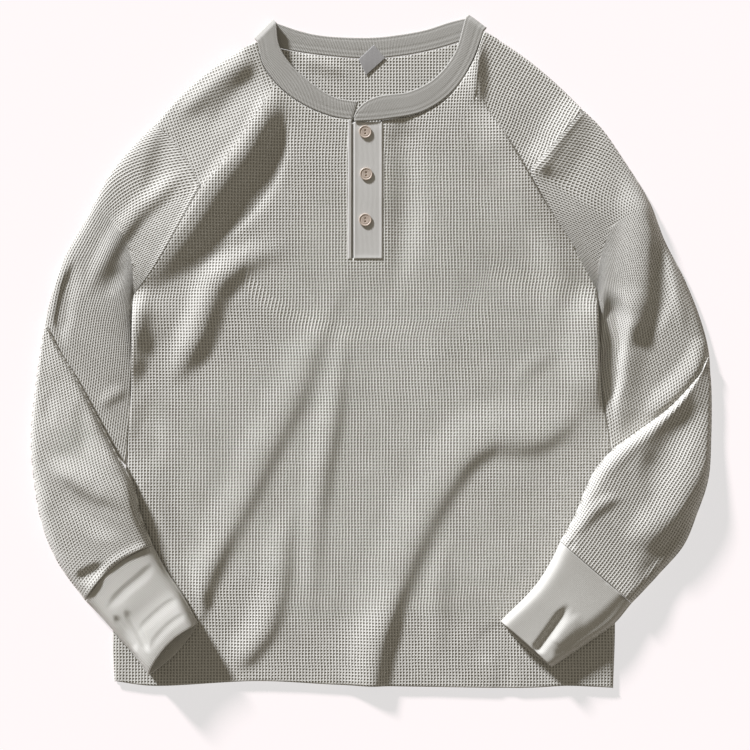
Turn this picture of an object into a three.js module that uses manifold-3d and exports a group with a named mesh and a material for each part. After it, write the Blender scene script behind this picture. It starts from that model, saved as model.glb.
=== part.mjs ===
// A long-sleeved henley shirt in waffle knit, laid on its back with both sleeves folded at the elbow.
// Millimetres. +Z is up, +Y runs from the hem to the neck and +X is to the right of someone looking down.
import * as THREE from "three";
import { mergeVertices } from "three/addons/utils/BufferGeometryUtils.js";
import Module from "manifold-3d";

const wasm = await Module();
wasm.setup();

// Cloth and clearances
const CLOTH = 1.8;
const CUFF_CLOTH = 2.0;
const BAND_CLOTH = 2.0;
const SEAM_GAP = 0.3;
const SEAM_SHIFT = 0.45;
const CAVITY = 0.8;
const FRONT_LOWEST = CLOTH + SEAM_GAP + CLOTH;
const UNDER_SLEEVE_HIGHEST = 6.2;

// How many cells each stretch of an edge is divided into
const CELLS = { side: 22, armholeLow: 7, armholeHigh: 6, shoulder: 9, neck: 10, middle: 1, back: 14, fold: 4 };

// How fast the curve of a side edge dies away across the front
const EDGE_PULL = 5;

// Heights of the front's top face above the surface
const HEM_HEIGHT = 4.4;
const SIDE_HEIGHT = 4.2;
const NECK_HEIGHT = 9;
const SHOULDER_HEIGHT = 4.6;
const ARMHOLE_PUFF = 9.5;

// Edges of the body, each as points from its start to its end
const HEM = [
  { x: -269, y: -345 },
  { x: -230, y: -350 },
  { x: -117, y: -345 },
  { x: -33, y: -349 },
  { x: 54, y: -351 },
  { x: 168, y: -352 },
  { x: 205, y: -350 },
  { x: 254, y: -352 },
];
const LEFT_SIDE = [
  { x: -269, y: -345 },
  { x: -271, y: -296 },
  { x: -257, y: -121 },
  { x: -251, y: -34 },
  { x: -250, y: 59 },
];
const RIGHT_SIDE = [
  { x: 254, y: -352 },
  { x: 256, y: -281 },
  { x: 252, y: -101 },
  { x: 242, y: -45 },
  { x: 238, y: 63 },
];
const LEFT_ARMHOLE_LOW = [
  { x: -250, y: 59 },
  { x: -227, y: 88 },
  { x: -177, y: 174 },
];
const LEFT_ARMHOLE_HIGH = [
  { x: -177, y: 174 },
  { x: -192, y: 200 },
  { x: -208, y: 222 },
  { x: -227, y: 239 },
];
const RIGHT_ARMHOLE_LOW = [
  { x: 238, y: 63 },
  { x: 211, y: 110 },
  { x: 185, y: 148 },
  { x: 166, y: 191 },
];
const RIGHT_ARMHOLE_HIGH = [
  { x: 166, y: 191 },
  { x: 195, y: 222 },
  { x: 222, y: 254 },
];

// The neckband runs from its left end round the back of the neck to its right end, which lies on top.
// Each row gives its free edge, its sewn edge and the height of its middle.
const BAND_LEFT_FRONT = [
  { freeX: -13, freeY: 262, sewnX: -19, sewnY: 243, z: 7 },
  { freeX: -39, freeY: 267, sewnX: -39, sewnY: 246, z: 7.6 },
  { freeX: -63, freeY: 282, sewnX: -67, sewnY: 257, z: 8 },
  { freeX: -84, freeY: 301, sewnX: -93, sewnY: 275, z: 8 },
  { freeX: -96, freeY: 321, sewnX: -112, sewnY: 299, z: 8 },
  { freeX: -99, freeY: 345, sewnX: -119, sewnY: 325, z: 7.8 },
];
const BAND_LEFT_FOLD = [
  { freeX: -99, freeY: 345, sewnX: -119, sewnY: 325, z: 7.8 },
  { freeX: -102, freeY: 348, sewnX: -122, sewnY: 328, z: 4.6 },
  { freeX: -99, freeY: 345, sewnX: -119, sewnY: 325, z: 1.4 },
];
const BAND_BACK = [
  { freeX: -99, freeY: 345, sewnX: -119, sewnY: 325, z: 1.4 },
  { freeX: -75, freeY: 337, sewnX: -87, sewnY: 317, z: 1 },
  { freeX: -51, freeY: 332, sewnX: -56, sewnY: 312, z: 1 },
  { freeX: 0, freeY: 330, sewnX: -3, sewnY: 308, z: 1 },
  { freeX: 30, freeY: 333, sewnX: 33, sewnY: 311, z: 1 },
  { freeX: 57, freeY: 338, sewnX: 64, sewnY: 317, z: 1 },
  { freeX: 82, freeY: 346, sewnX: 94, sewnY: 326, z: 1 },
  { freeX: 99, freeY: 350, sewnX: 118, sewnY: 336, z: 1.4 },
];
const BAND_RIGHT_FOLD = [
  { freeX: 99, freeY: 350, sewnX: 118, sewnY: 336, z: 1.4 },
  { freeX: 102, freeY: 353, sewnX: 121, sewnY: 339, z: 4.7 },
  { freeX: 99, freeY: 350, sewnX: 118, sewnY: 336, z: 8 },
];
const BAND_RIGHT_FRONT = [
  { freeX: 99, freeY: 350, sewnX: 118, sewnY: 336, z: 8 },
  { freeX: 87, freeY: 312, sewnX: 106, sewnY: 303, z: 8.4 },
  { freeX: 66, freeY: 286, sewnX: 84, sewnY: 271, z: 8.6 },
  { freeX: 39, freeY: 272, sewnX: 54, sewnY: 251, z: 9 },
  { freeX: 9, freeY: 267, sewnX: 12, sewnY: 243, z: 9.6 },
  { freeX: -12, freeY: 259, sewnX: -17, sewnY: 241, z: 10.2 },
];

// Folds of the front. A path runs downwards, lit is the width of the slope on its left and shade on its right.
// Head and tail are the shares of the path over which the fold rises and dies away.
const FRONT_FOLDS = [
  { name: "armhole ridge", height: 7, lit: 26, shade: 24, head: 0.3, tail: 0.15,
    path: [[-112, 240], [-140, 210], [-175, 174], [-222, 98], [-247, 66]] },
  { name: "hollow in the armhole ridge", height: -3.5, lit: 16, shade: 22, head: 0.3, tail: 0.4,
    path: [[-120, 218], [-146, 180], [-182, 120]] },
  { name: "left chest pucker", height: 4.5, lit: 20, shade: 12, head: 0.3, tail: 0.5,
    path: [[-146, 84], [-168, 62], [-172, 36], [-184, 2], [-204, -18]] },
  { name: "left waist dent", height: 2.5, lit: 22, shade: 10, head: 0.4, tail: 0.4,
    path: [[-236, 30], [-240, -5], [-238, -38]] },
  { name: "left long fold", height: 7.5, lit: 34, shade: 17, head: 0.45, tail: 0.2,
    path: [[-37, 55], [-76, -45], [-107, -93], [-124, -135], [-143, -176], [-162, -216], [-178, -292]] },
  { name: "middle long fold", height: 5, lit: 30, shade: 18, head: 0.4, tail: 0.3,
    path: [[-27, 23], [-45, -82], [-52, -167], [-54, -212], [-60, -298]] },
  { name: "hem finger", height: 5.5, lit: 20, shade: 12, head: 0.3, tail: 0.12,
    path: [[-88, -214], [-90, -238], [-95, -275], [-107, -306], [-124, -342]] },
  { name: "right long fold", height: 10, lit: 52, shade: 22, head: 0.2, tail: 0.02,
    path: [[219, -54], [180, -88], [128, -112], [104, -130], [80, -163], [60, -201], [42, -238], [28, -275], [12, -351]] },
  { name: "right hem fold", height: 3, lit: 18, shade: 14, head: 0.4, tail: 0.1,
    path: [[86, -190], [74, -260], [66, -351]] },
  { name: "placket ridge", height: 2.2, lit: 12, shade: 18, head: 0.2, tail: 0.5,
    path: [[44, 236], [46, 150], [44, 60], [30, -20]] },
  { name: "placket trough", height: -2, lit: 10, shade: 14, head: 0.2, tail: 0.4,
    path: [[25, 236], [27, 150], [24, 50]] },
  { name: "right chest ridge", height: 4, lit: 26, shade: 22, head: 0.4, tail: 0.5,
    path: [[150, 120], [172, 66], [186, 10]] },
  { name: "right shoulder fold", height: 6, lit: 14, shade: 26, head: 0.25, tail: 0.25,
    path: [[119, 268], [147, 226], [166, 190], [190, 140], [228, 76]] },
  { name: "neck shade", height: -3, lit: 12, shade: 16, head: 0.3, tail: 0.4,
    path: [[124, 312], [116, 275], [100, 250]] },
  { name: "left chest hollow", height: -2.5, lit: 40, shade: 40, head: 0.5, tail: 0.5,
    path: [[-90, 190], [-110, 90], [-150, -40]] },
];

// Where a forearm and its cuff press the front flat: a line, the radius around it and the fade beyond
const PRESSED = [
  { x0: -262, y0: -120, x1: -212, y1: -275, radius: 44, fade: 24 },
  { x0: -240, y0: -300, x1: -275, y1: -250, radius: 40, fade: 20 },
  { x0: 262, y0: -100, x1: 182, y1: -272, radius: 50, fade: 24 },
  { x0: 262, y0: -200, x1: 225, y1: -285, radius: 50, fade: 20 },
];

// Folds of the sleeves, with the same columns
const LEFT_SLEEVE_FOLDS = [
  { name: "upper ridge", height: 5, lit: 22, shade: 14, head: 0.3, tail: 0.4,
    path: [[-206, 205], [-214, 186], [-250, 140], [-282, 92]] },
  { name: "elbow pocket", height: -4, lit: 10, shade: 12, head: 0.3, tail: 0.3,
    path: [[-330, 58], [-322, 38], [-312, 14]] },
  { name: "elbow pleat", height: 4, lit: 12, shade: 12, head: 0.3, tail: 0.4,
    path: [[-318, 74], [-300, 30], [-272, -30]] },
  { name: "forearm crease", height: 4, lit: 16, shade: 14, head: 0.3, tail: 0.3,
    path: [[-338, -112], [-300, -130], [-272, -150], [-256, -188]] },
  { name: "forearm hollow", height: -4, lit: 18, shade: 18, head: 0.3, tail: 0.3,
    path: [[-318, -150], [-300, -180], [-284, -212]] },
];
const RIGHT_SLEEVE_FOLDS = [
  { name: "upper ridge", height: 5, lit: 18, shade: 12, head: 0.3, tail: 0.4,
    path: [[268, 150], [276, 110], [274, 30]] },
  { name: "upper trough", height: -4, lit: 10, shade: 16, head: 0.3, tail: 0.3,
    path: [[291, 133], [300, 75], [294, 20]] },
  { name: "underarm edge", height: 6, lit: 7, shade: 24, head: 0.2, tail: 0.2,
    path: [[236, 72], [254, 50], [268, 34], [264, 12], [258, -25], [256, -60], [260, -92]] },
  { name: "shoulder band", height: 3, lit: 12, shade: 12, head: 0.3, tail: 0.3,
    path: [[232, 236], [206, 200], [196, 160]] },
  { name: "forearm ridge", height: 3.5, lit: 14, shade: 14, head: 0.2, tail: 0.3,
    path: [[338, -22], [296, -66], [250, -106], [232, -140]] },
  { name: "forearm trough", height: -3.5, lit: 14, shade: 18, head: 0.2, tail: 0.3,
    path: [[342, -44], [290, -92], [262, -120], [244, -160]] },
];

// A sleeve is an upper tube and a forearm tube. Outer and inner are its two edges from the start to the end.
// A row gives, at share t, the height of the lower face at each edge, the depth of the tube, how far the
// middle of the upper and lower faces runs ahead of the edges.
const SLEEVES = [
  {
    side: "left",
    folds: LEFT_SLEEVE_FOLDS,
    upper: {
      steps: 10,
      cells: CELLS.armholeLow + CELLS.armholeHigh,
      outer: [[-227.5, 239], [-250, 212], [-272, 183], [-297, 135], [-321, 92], [-338, 48], [-344, 8]],
      inner: [[-250.9, 59], [-253, 30], [-254, -20], [-257, -70], [-262, -112]],
      rows: [
        { t: 0, lowOuter: 0, lowInner: 0, depth: ARMHOLE_PUFF, ahead: 0, aheadLow: 0 },
        { t: 0.35, lowOuter: 0, lowInner: 0, depth: 14, ahead: 0, aheadLow: 0 },
        { t: 0.7, lowOuter: 0, lowInner: 0, depth: 12, ahead: 0, aheadLow: 0 },
        { t: 1, lowOuter: 0, lowInner: 0, depth: 8, ahead: 0, aheadLow: 0 },
      ],
    },
    forearm: {
      steps: 10,
      cells: 9,
      outer: [[-342, 30], [-350, -20], [-357, -88], [-354, -133], [-346, -178], [-329, -220], [-299, -261]],
      inner: [[-337, 28], [-326, 2], [-309, -25], [-287, -66], [-266, -106], [-248, -139], [-240, -171], [-228, -202]],
      rows: [
        { t: 0, lowOuter: 2, lowInner: 6.5, depth: 5.2, ahead: 0, aheadLow: 0 },
        { t: 0.2, lowOuter: 0, lowInner: 8.5, depth: 9, ahead: 0, aheadLow: 0 },
        { t: 0.5, lowOuter: 0, lowInner: 8.5, depth: 17, ahead: 0, aheadLow: 0 },
        { t: 0.8, lowOuter: 0, lowInner: 7.5, depth: 18, ahead: -4, aheadLow: -4 },
        { t: 1, lowOuter: 3, lowInner: 7.2, depth: 15, ahead: -9, aheadLow: -9 },
      ],
    },
    cuff: {
      steps: 6,
      cells: 9,
      outer: [[-299, -261], [-283, -277], [-252, -312], [-233, -337]],
      inner: [[-228, -202], [-213, -230], [-198, -252], [-181, -283]],
      rows: [
        { t: 0, lowOuter: 3, lowInner: 7.2, depth: 14, ahead: -9, aheadLow: -9 },
        { t: 0.5, lowOuter: 6.8, lowInner: 7, depth: 14, ahead: -7, aheadLow: -2 },
        { t: 1, lowOuter: 6.8, lowInner: 7, depth: 21, ahead: -8, aheadLow: 5 },
      ],
    },
  },
  {
    side: "right",
    folds: RIGHT_SLEEVE_FOLDS,
    upper: {
      steps: 10,
      cells: CELLS.armholeLow + CELLS.armholeHigh,
      outer: [[222.5, 254], [243, 234], [265, 202], [292, 158], [308, 117], [329, 76], [345, 35], [352, -12]],
      inner: [[238.9, 63], [240.8, 40], [241.6, 10], [244, -30], [249.5, -64], [258, -108]],
      rows: [
        { t: 0, lowOuter: 0, lowInner: 0, depth: ARMHOLE_PUFF, ahead: 0, aheadLow: 0 },
        { t: 0.35, lowOuter: 0, lowInner: 0, depth: 15, ahead: 0, aheadLow: 0 },
        { t: 0.7, lowOuter: 0, lowInner: 0, depth: 13, ahead: 0, aheadLow: 0 },
        { t: 1, lowOuter: 0, lowInner: 0, depth: 8, ahead: 0, aheadLow: 0 },
      ],
    },
    forearm: {
      steps: 10,
      cells: 9,
      outer: [[355, 6], [357, -40], [357, -88], [354, -133], [342, -170], [328, -203], [302, -233], [273, -263]],
      inner: [[350, 2], [339, -28], [312, -58], [281, -81], [254, -101], [237, -119], [226, -139], [213, -171], [198, -198]],
      rows: [
        { t: 0, lowOuter: 2, lowInner: 6.5, depth: 5.2, ahead: 0, aheadLow: 0 },
        { t: 0.2, lowOuter: 0, lowInner: 8.5, depth: 9, ahead: 0, aheadLow: 0 },
        { t: 0.5, lowOuter: 0, lowInner: 8.5, depth: 17, ahead: 0, aheadLow: 0 },
        { t: 0.8, lowOuter: 0, lowInner: 7.5, depth: 17, ahead: 0, aheadLow: 0 },
        { t: 1, lowOuter: 4, lowInner: 7.2, depth: 14, ahead: 0, aheadLow: 0 },
      ],
    },
    cuff: {
      steps: 6,
      cells: 9,
      outer: [[273, -263], [255, -284], [230, -302], [190, -329]],
      inner: [[198, -198], [188, -219], [172, -244], [136, -281]],
      rows: [
        { t: 0, lowOuter: 4, lowInner: 7.2, depth: 13, ahead: 0, aheadLow: 0 },
        { t: 0.5, lowOuter: 6.8, lowInner: 7, depth: 13, ahead: 0, aheadLow: 0 },
        { t: 1, lowOuter: 6.8, lowInner: 7, depth: 12, ahead: -1, aheadLow: 3 },
      ],
    },
  },
];

// Shares of the upper tube over which the armhole's curve dies away, at the shoulder and at the underarm
const ARMHOLE_FADE = { shoulder: 0.38, underarm: 0.04 };

// How much the sections of the upper tube crowd together at the underarm
const UNDERARM_LAG = 2.2;

// Placket and its buttons
const PLACKET = { left: -20, right: 12, bottom: 97, topLeft: 239.4, topRight: 241, cellsAcross: 4, cellsDown: 14 };
const PLACKET_LIFT = 0.8;
const PLACKET_UNDER_MARGIN = 2.2;
const PLACKET_UNDER_DROP = 2.2;
const PLACKET_CLOTH = 1.6;
const BUTTON = { radius: 6.25, thickness: 2.6, rim: 1.3, dish: 0.7, hole: 0.9, holeApart: 3.4, sides: 24 };
const BUTTON_PLACES = [
  { x: -6, y: 230 },
  { x: -5, y: 186 },
  { x: -6, y: 138 },
];

// The bare label at the back of the neck, a diamond from its top corner round
const LABEL = { thickness: 1, lift: 2.4, corners: [[3, 322], [15, 308], [-5, 290], [-13, 307]] };

// Colours
const KNIT_COLOUR = 0xc6c1b4;
const RIB_COLOUR = 0xc9c5ba;
const BUTTON_COLOUR = 0xc8b6a6;
const LABEL_COLOUR = 0x8f8b84;

// Helpers for numbers and curves

function mix(a, b, share) {
  return a + (b - a) * share;
}

function clamp01(value) {
  return Math.min(1, Math.max(0, value));
}

function ease(value) {
  const v = clamp01(value);
  return v * v * (3 - 2 * v);
}

function curveThrough(points) {
  return new THREE.CatmullRomCurve3(points, false, "centripetal");
}

function flatCurve(pairs) {
  return curveThrough(pairs.map(([x, y]) => new THREE.Vector3(x, y, 0)));
}

// Points at equal steps along an edge given as rows of x and y
function edgePoints(rows, cells) {
  const curve = curveThrough(rows.map(({ x, y }) => new THREE.Vector3(x, y, 0)));
  return curve.getSpacedPoints(cells);
}

// Several stretches of an edge as one list
function joinEdges(...stretches) {
  return stretches.flatMap((points, i) => (i === 0 ? points : points.slice(1)));
}

// Values of a row table at share t
function rowAt(rows, t) {
  const next = Math.max(1, rows.findIndex((row) => row.t >= t));
  const a = rows[next - 1];
  const b = rows[next];
  const share = ease((t - a.t) / (b.t - a.t));
  return Object.fromEntries(Object.keys(a).map((key) => [key, mix(a[key], b[key], share)]));
}

// Helpers for solids

// A closed surface as a solid, turned to face out
function solidFrom(points, faces) {
  const positions = new Float32Array(points.flatMap((p) => [p.x, p.y, p.z]));
  const geometry = new THREE.BufferGeometry();
  geometry.setAttribute("position", new THREE.BufferAttribute(positions, 3));
  geometry.setIndex(faces);
  return solidOf(geometry);
}

function solidOf(geometry) {
  const bare = geometry.clone();
  bare.deleteAttribute("normal");
  bare.deleteAttribute("uv");
  const merged = mergeVertices(bare, 1e-3);
  const corners = Array.from(merged.index.array);
  const position = merged.getAttribute("position");
  if (signedVolume(position, corners) < 0) corners.reverse();
  return new wasm.Manifold(
    new wasm.Mesh({
      numProp: 3,
      vertProperties: position.array,
      triVerts: new Uint32Array(corners),
    }),
  );
}

function signedVolume(position, corners) {
  const a = new THREE.Vector3();
  const b = new THREE.Vector3();
  const c = new THREE.Vector3();
  let sum = 0;
  for (let i = 0; i < corners.length; i += 3) {
    a.fromBufferAttribute(position, corners[i]);
    b.fromBufferAttribute(position, corners[i + 1]);
    c.fromBufferAttribute(position, corners[i + 2]);
    sum += a.dot(b.cross(c));
  }
  return sum / 6;
}

function geometryOf(solid) {
  const made = solid.getMesh();
  const geometry = new THREE.BufferGeometry();
  geometry.setAttribute("position", new THREE.BufferAttribute(new Float32Array(made.vertProperties), 3));
  geometry.setIndex(new THREE.BufferAttribute(new Uint32Array(made.triVerts), 1));
  return geometry.toNonIndexed();
}

// A wall between two grids of points. A closed wall joins its last column to its first.
function wall(outside, inside, closed = false) {
  const rows = outside.length;
  const columns = outside[0].length;
  const points = [...outside.flat(), ...inside.flat()];
  const at = (face, i, j) => (face * rows + i) * columns + (j % columns);
  const faces = [];
  const quad = (a, b, c, d) => faces.push(a, b, c, a, c, d);
  const stretch = closed ? columns : columns - 1;
  const last = rows - 1;
  for (let j = 0; j < stretch; j++) {
    for (let i = 0; i < last; i++) {
      quad(at(0, i, j), at(0, i, j + 1), at(0, i + 1, j + 1), at(0, i + 1, j));
      quad(at(1, i, j), at(1, i + 1, j), at(1, i + 1, j + 1), at(1, i, j + 1));
    }
    quad(at(0, 0, j + 1), at(0, 0, j), at(1, 0, j), at(1, 0, j + 1));
    quad(at(0, last, j), at(0, last, j + 1), at(1, last, j + 1), at(1, last, j));
  }
  for (let i = 0; i < last && !closed; i++) {
    quad(at(0, i, 0), at(0, i + 1, 0), at(1, i + 1, 0), at(1, i, 0));
    quad(at(0, i + 1, stretch), at(0, i, stretch), at(1, i, stretch), at(1, i + 1, stretch));
  }
  return solidFrom(points, faces);
}

// The same grid, moved straight down
function lowered(grid, drop) {
  return grid.map((row) => row.map((p) => new THREE.Vector3(p.x, p.y, p.z - drop)));
}

function extruded(outline, thickness, z) {
  const shape = new THREE.Shape(outline.map((p) => new THREE.Vector2(p.x, p.y)));
  const geometry = new THREE.ExtrudeGeometry(shape, { depth: thickness, bevelEnabled: false });
  geometry.translate(0, 0, z);
  return solidOf(geometry);
}

// Helpers for folds

function preparedFolds(table) {
  return table.map((fold) => ({ ...fold, line: flatCurve(fold.path).getSpacedPoints(24) }));
}

// The height that one fold adds at a place
function foldAt(fold, x, y) {
  const steps = fold.line.length - 1;
  let nearest = Infinity;
  let along = 0;
  let side = 0;
  for (let i = 0; i < steps; i++) {
    const a = fold.line[i];
    const b = fold.line[i + 1];
    const dx = b.x - a.x;
    const dy = b.y - a.y;
    const share = clamp01(((x - a.x) * dx + (y - a.y) * dy) / (dx * dx + dy * dy));
    const distance = Math.hypot(x - a.x - dx * share, y - a.y - dy * share);
    if (distance < nearest) {
      nearest = distance;
      along = (i + share) / steps;
      side = dx * (y - a.y) - dy * (x - a.x);
    }
  }
  const width = side > 0 ? fold.shade : fold.lit;
  const taper = ease(along / fold.head) * ease((1 - along) / fold.tail);
  const slope = Math.cos((Math.PI / 2) * clamp01(nearest / width));
  return fold.height * taper * slope * slope;
}

function foldsAt(folds, x, y) {
  return folds.reduce((sum, fold) => sum + foldAt(fold, x, y), 0);
}

// How much the sleeves press the front down at a place, from 0 to 1
function pressedAt(x, y) {
  const shares = PRESSED.map(({ x0, y0, x1, y1, radius, fade }) => {
    const dx = x1 - x0;
    const dy = y1 - y0;
    const share = clamp01(((x - x0) * dx + (y - y0) * dy) / (dx * dx + dy * dy));
    const distance = Math.hypot(x - x0 - dx * share, y - y0 - dy * share);
    return ease(1 - (distance - radius) / fade);
  });
  return Math.max(...shares);
}

// Depth of a flattened tube at share s of its width
function tubeDepth(s, depth) {
  const edge = 2 * CLOTH + CAVITY;
  return edge + (depth - edge) * Math.sin(Math.PI * clamp01(s)) ** 0.6;
}

// Neckband

function bandCurves(rows) {
  const free = curveThrough(rows.map((r) => new THREE.Vector3(r.freeX, r.freeY, r.z)));
  const sewn = curveThrough(rows.map((r) => new THREE.Vector3(r.sewnX, r.sewnY, r.z)));
  return { free, sewn };
}

// Rows of points across the band, from its free edge to its sewn edge
function bandRows(table, cells) {
  const { free, sewn } = bandCurves(table);
  const rows = [];
  for (let i = 0; i <= cells; i++) {
    const a = free.getPoint(i / cells);
    const b = sewn.getPoint(i / cells);
    rows.push([a, a.clone().lerp(b, 0.5), b]);
  }
  return rows;
}

const bandStretches = {
  leftFront: bandRows(BAND_LEFT_FRONT, CELLS.neck),
  leftFold: bandRows(BAND_LEFT_FOLD, CELLS.fold),
  back: bandRows(BAND_BACK, CELLS.back),
  rightFold: bandRows(BAND_RIGHT_FOLD, CELLS.fold),
  rightFront: bandRows(BAND_RIGHT_FRONT, CELLS.neck),
};

// The panel's edge beside a stretch of the band
function besideBand(rows) {
  return rows.map(([free, , sewn]) => {
    const away = sewn.clone().sub(free).setZ(0).normalize();
    return sewn.clone().addScaledVector(away, SEAM_SHIFT).setZ(0);
  });
}

function makeNeckband() {
  const rows = joinEdges(...Object.values(bandStretches));
  const last = rows.length - 1;
  const face = (share) =>
    rows.map((row, i) =>
      row.map((point) => {
        const ahead = rows[Math.min(last, i + 1)][1].clone().sub(rows[Math.max(0, i - 1)][1]);
        const across = row[2].clone().sub(row[0]);
        const normal = ahead.cross(across).normalize();
        return point.clone().addScaledVector(normal, share * BAND_CLOTH);
      }),
    );
  return wall(face(0.5), face(-0.5));
}

// Edges of the body

const neckLeft = besideBand(bandStretches.leftFront).reverse();
const neckRight = besideBand(bandStretches.rightFront).reverse();
const neckBack = besideBand(bandStretches.back);

const leftArmhole = joinEdges(
  edgePoints(LEFT_ARMHOLE_LOW, CELLS.armholeLow),
  edgePoints(LEFT_ARMHOLE_HIGH, CELLS.armholeHigh),
);
const rightArmhole = joinEdges(
  edgePoints(RIGHT_ARMHOLE_LOW, CELLS.armholeLow),
  edgePoints(RIGHT_ARMHOLE_HIGH, CELLS.armholeHigh),
);
const leftEdge = joinEdges(edgePoints(LEFT_SIDE, CELLS.side), leftArmhole);
const rightEdge = joinEdges(edgePoints(RIGHT_SIDE, CELLS.side), rightArmhole);
const hemEdge = edgePoints(HEM, 2 * (CELLS.shoulder + CELLS.neck) + CELLS.middle);

function shoulder(from, to) {
  return edgePoints([from, to], CELLS.shoulder);
}

const topEdge = [
  ...shoulder(leftArmhole.at(-1), neckLeft[0]).slice(0, -1),
  ...neckLeft,
  ...neckRight,
  ...shoulder(neckRight.at(-1), rightArmhole.at(-1)).slice(1),
];

// The heights of the front's edges

function sideHeight(i) {
  const s = (i - CELLS.side) / (CELLS.armholeLow + CELLS.armholeHigh);
  return s <= 0 ? SIDE_HEIGHT : tubeDepth(s, ARMHOLE_PUFF);
}

function topHeight(j) {
  const columns = topEdge.length - 1;
  const fromEnd = Math.min(j, columns - j);
  return mix(SHOULDER_HEIGHT, NECK_HEIGHT, ease(fromEnd / (CELLS.shoulder + 2)));
}

// Body panels

// A patch stretched between the four edges, with the folds added
function frontTop() {
  const folds = preparedFolds(FRONT_FOLDS);
  const rows = leftEdge.length - 1;
  const columns = hemEdge.length - 1;
  const lift = (point, z) => new THREE.Vector3(point.x, point.y, z);
  const left = leftEdge.map((p, i) => lift(p, sideHeight(i)));
  const right = rightEdge.map((p, i) => lift(p, sideHeight(i)));
  const hem = hemEdge.map((p) => lift(p, HEM_HEIGHT));
  const top = topEdge.map((p, j) => lift(p, topHeight(j)));
  const grid = [];
  for (let i = 0; i <= rows; i++) {
    const v = i / rows;
    const row = [];
    for (let j = 0; j <= columns; j++) {
      const u = j / columns;
      const point = hem[j].clone().lerp(top[j], v);
      point.addScaledVector(left[i].clone().sub(hem[0].clone().lerp(top[0], v)), (1 - u) ** EDGE_PULL);
      point.addScaledVector(right[i].clone().sub(hem[columns].clone().lerp(top[columns], v)), u ** EDGE_PULL);
      const free = point.z + foldsAt(folds, point.x, point.y);
      const pressed = Math.min(free, UNDER_SLEEVE_HIGHEST);
      point.z = Math.max(FRONT_LOWEST, mix(free, pressed, pressedAt(point.x, point.y)));
      row.push(point);
    }
    grid.push(row);
  }
  return grid;
}

const frontGrid = frontTop();

// Height of the front's top face at a place
function frontHeight(x, y) {
  for (let i = 0; i < frontGrid.length - 1; i++) {
    for (let j = 0; j < frontGrid[0].length - 1; j++) {
      const a = frontGrid[i][j];
      const c = frontGrid[i + 1][j + 1];
      for (const b of [frontGrid[i][j + 1], frontGrid[i + 1][j]]) {
        const area = (b.x - a.x) * (c.y - a.y) - (c.x - a.x) * (b.y - a.y);
        const wb = ((x - a.x) * (c.y - a.y) - (c.x - a.x) * (y - a.y)) / area;
        const wc = ((b.x - a.x) * (y - a.y) - (x - a.x) * (b.y - a.y)) / area;
        if (wb >= 0 && wc >= 0 && wb + wc <= 1) return a.z + wb * (b.z - a.z) + wc * (c.z - a.z);
      }
    }
  }
  return NECK_HEIGHT;
}

// A strip down the front opening, wider and lower by the given amounts than the slot in the front
function placketGrid(margin, lift) {
  const rows = [];
  for (let i = 0; i <= PLACKET.cellsDown; i++) {
    const row = [];
    for (let j = 0; j <= PLACKET.cellsAcross; j++) {
      const across = j / PLACKET.cellsAcross;
      const x = mix(PLACKET.left - margin, PLACKET.right + margin, across);
      const top = mix(PLACKET.topLeft, PLACKET.topRight, across);
      const y = mix(PLACKET.bottom - margin, top, i / PLACKET.cellsDown);
      row.push(new THREE.Vector3(x, y, frontHeight(x, Math.min(y, top - 1)) + lift));
    }
    rows.push(row);
  }
  return rows;
}

function makeFront() {
  const slotTop = 2 * PLACKET.topRight - PLACKET.bottom;
  const slot = [
    { x: PLACKET.left - SEAM_GAP, y: PLACKET.bottom - SEAM_GAP },
    { x: PLACKET.right + SEAM_GAP, y: PLACKET.bottom - SEAM_GAP },
    { x: PLACKET.right + SEAM_GAP, y: slotTop },
    { x: PLACKET.left - SEAM_GAP, y: slotTop },
  ];
  const slotDepth = 60;
  return wall(frontGrid, lowered(frontGrid, CLOTH)).subtract(extruded(slot, slotDepth, -slotDepth / 2));
}

function makeBack() {
  const outline = [
    ...hemEdge.slice(0, -1),
    ...rightEdge,
    ...shoulder(neckBack.at(-1), rightArmhole.at(-1)).reverse().slice(1),
    ...neckBack.slice(1, -1).reverse(),
    ...shoulder(neckBack[0], leftArmhole.at(-1)),
    ...[...leftEdge].reverse().slice(1, -1),
  ];
  return extruded(outline, CLOTH, 0);
}

// Sleeves and cuffs

// The rings of a tube, outside and inside. The armhole gives the curve of its first section.
function tubeRings(spec, cloth, folds, armhole, cellShift) {
  const outer = flatCurve(spec.outer);
  const inner = flatCurve(spec.inner);
  const outside = [];
  const inside = [];
  for (let k = 0; k <= spec.steps; k++) {
    const t = mix(cellShift, 1, k / spec.steps);
    const row = rowAt(spec.rows, t);
    const a = outer.getPointAt(t);
    const b = inner.getPointAt(armhole ? t ** UNDERARM_LAG : t);
    const width = a.distanceTo(b);
    const forward = outer.getTangentAt(t).add(inner.getTangentAt(t)).normalize();
    const place = (s, ahead, z) => {
      const point = a.clone().lerp(b, s).addScaledVector(forward, 4 * s * (1 - s) * ahead);
      const reach = mix(ARMHOLE_FADE.shoulder, ARMHOLE_FADE.underarm, s);
      if (armhole) point.addScaledVector(armholeBend(armhole, s), clamp01(1 - t / reach));
      return point.setZ(z);
    };
    const ring = (inset, lessDepth) => {
      const top = [];
      const bottom = [];
      for (let c = 0; c <= spec.cells; c++) {
        const s = mix(inset / width, 1 - inset / width, c / spec.cells);
        const low = mix(row.lowOuter, row.lowInner, s);
        const above = place(s, row.ahead, 0);
        const rise = foldsAt(folds, above.x, above.y) * Math.sin(Math.PI * s);
        top.push(above.setZ(low + tubeDepth(c / spec.cells, row.depth) + rise - lessDepth));
        bottom.unshift(place(s, row.aheadLow, low + lessDepth));
      }
      return [...top, ...bottom];
    };
    outside.push(ring(0, 0));
    inside.push(ring(cloth, cloth));
  }
  return { outside, inside };
}

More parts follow.
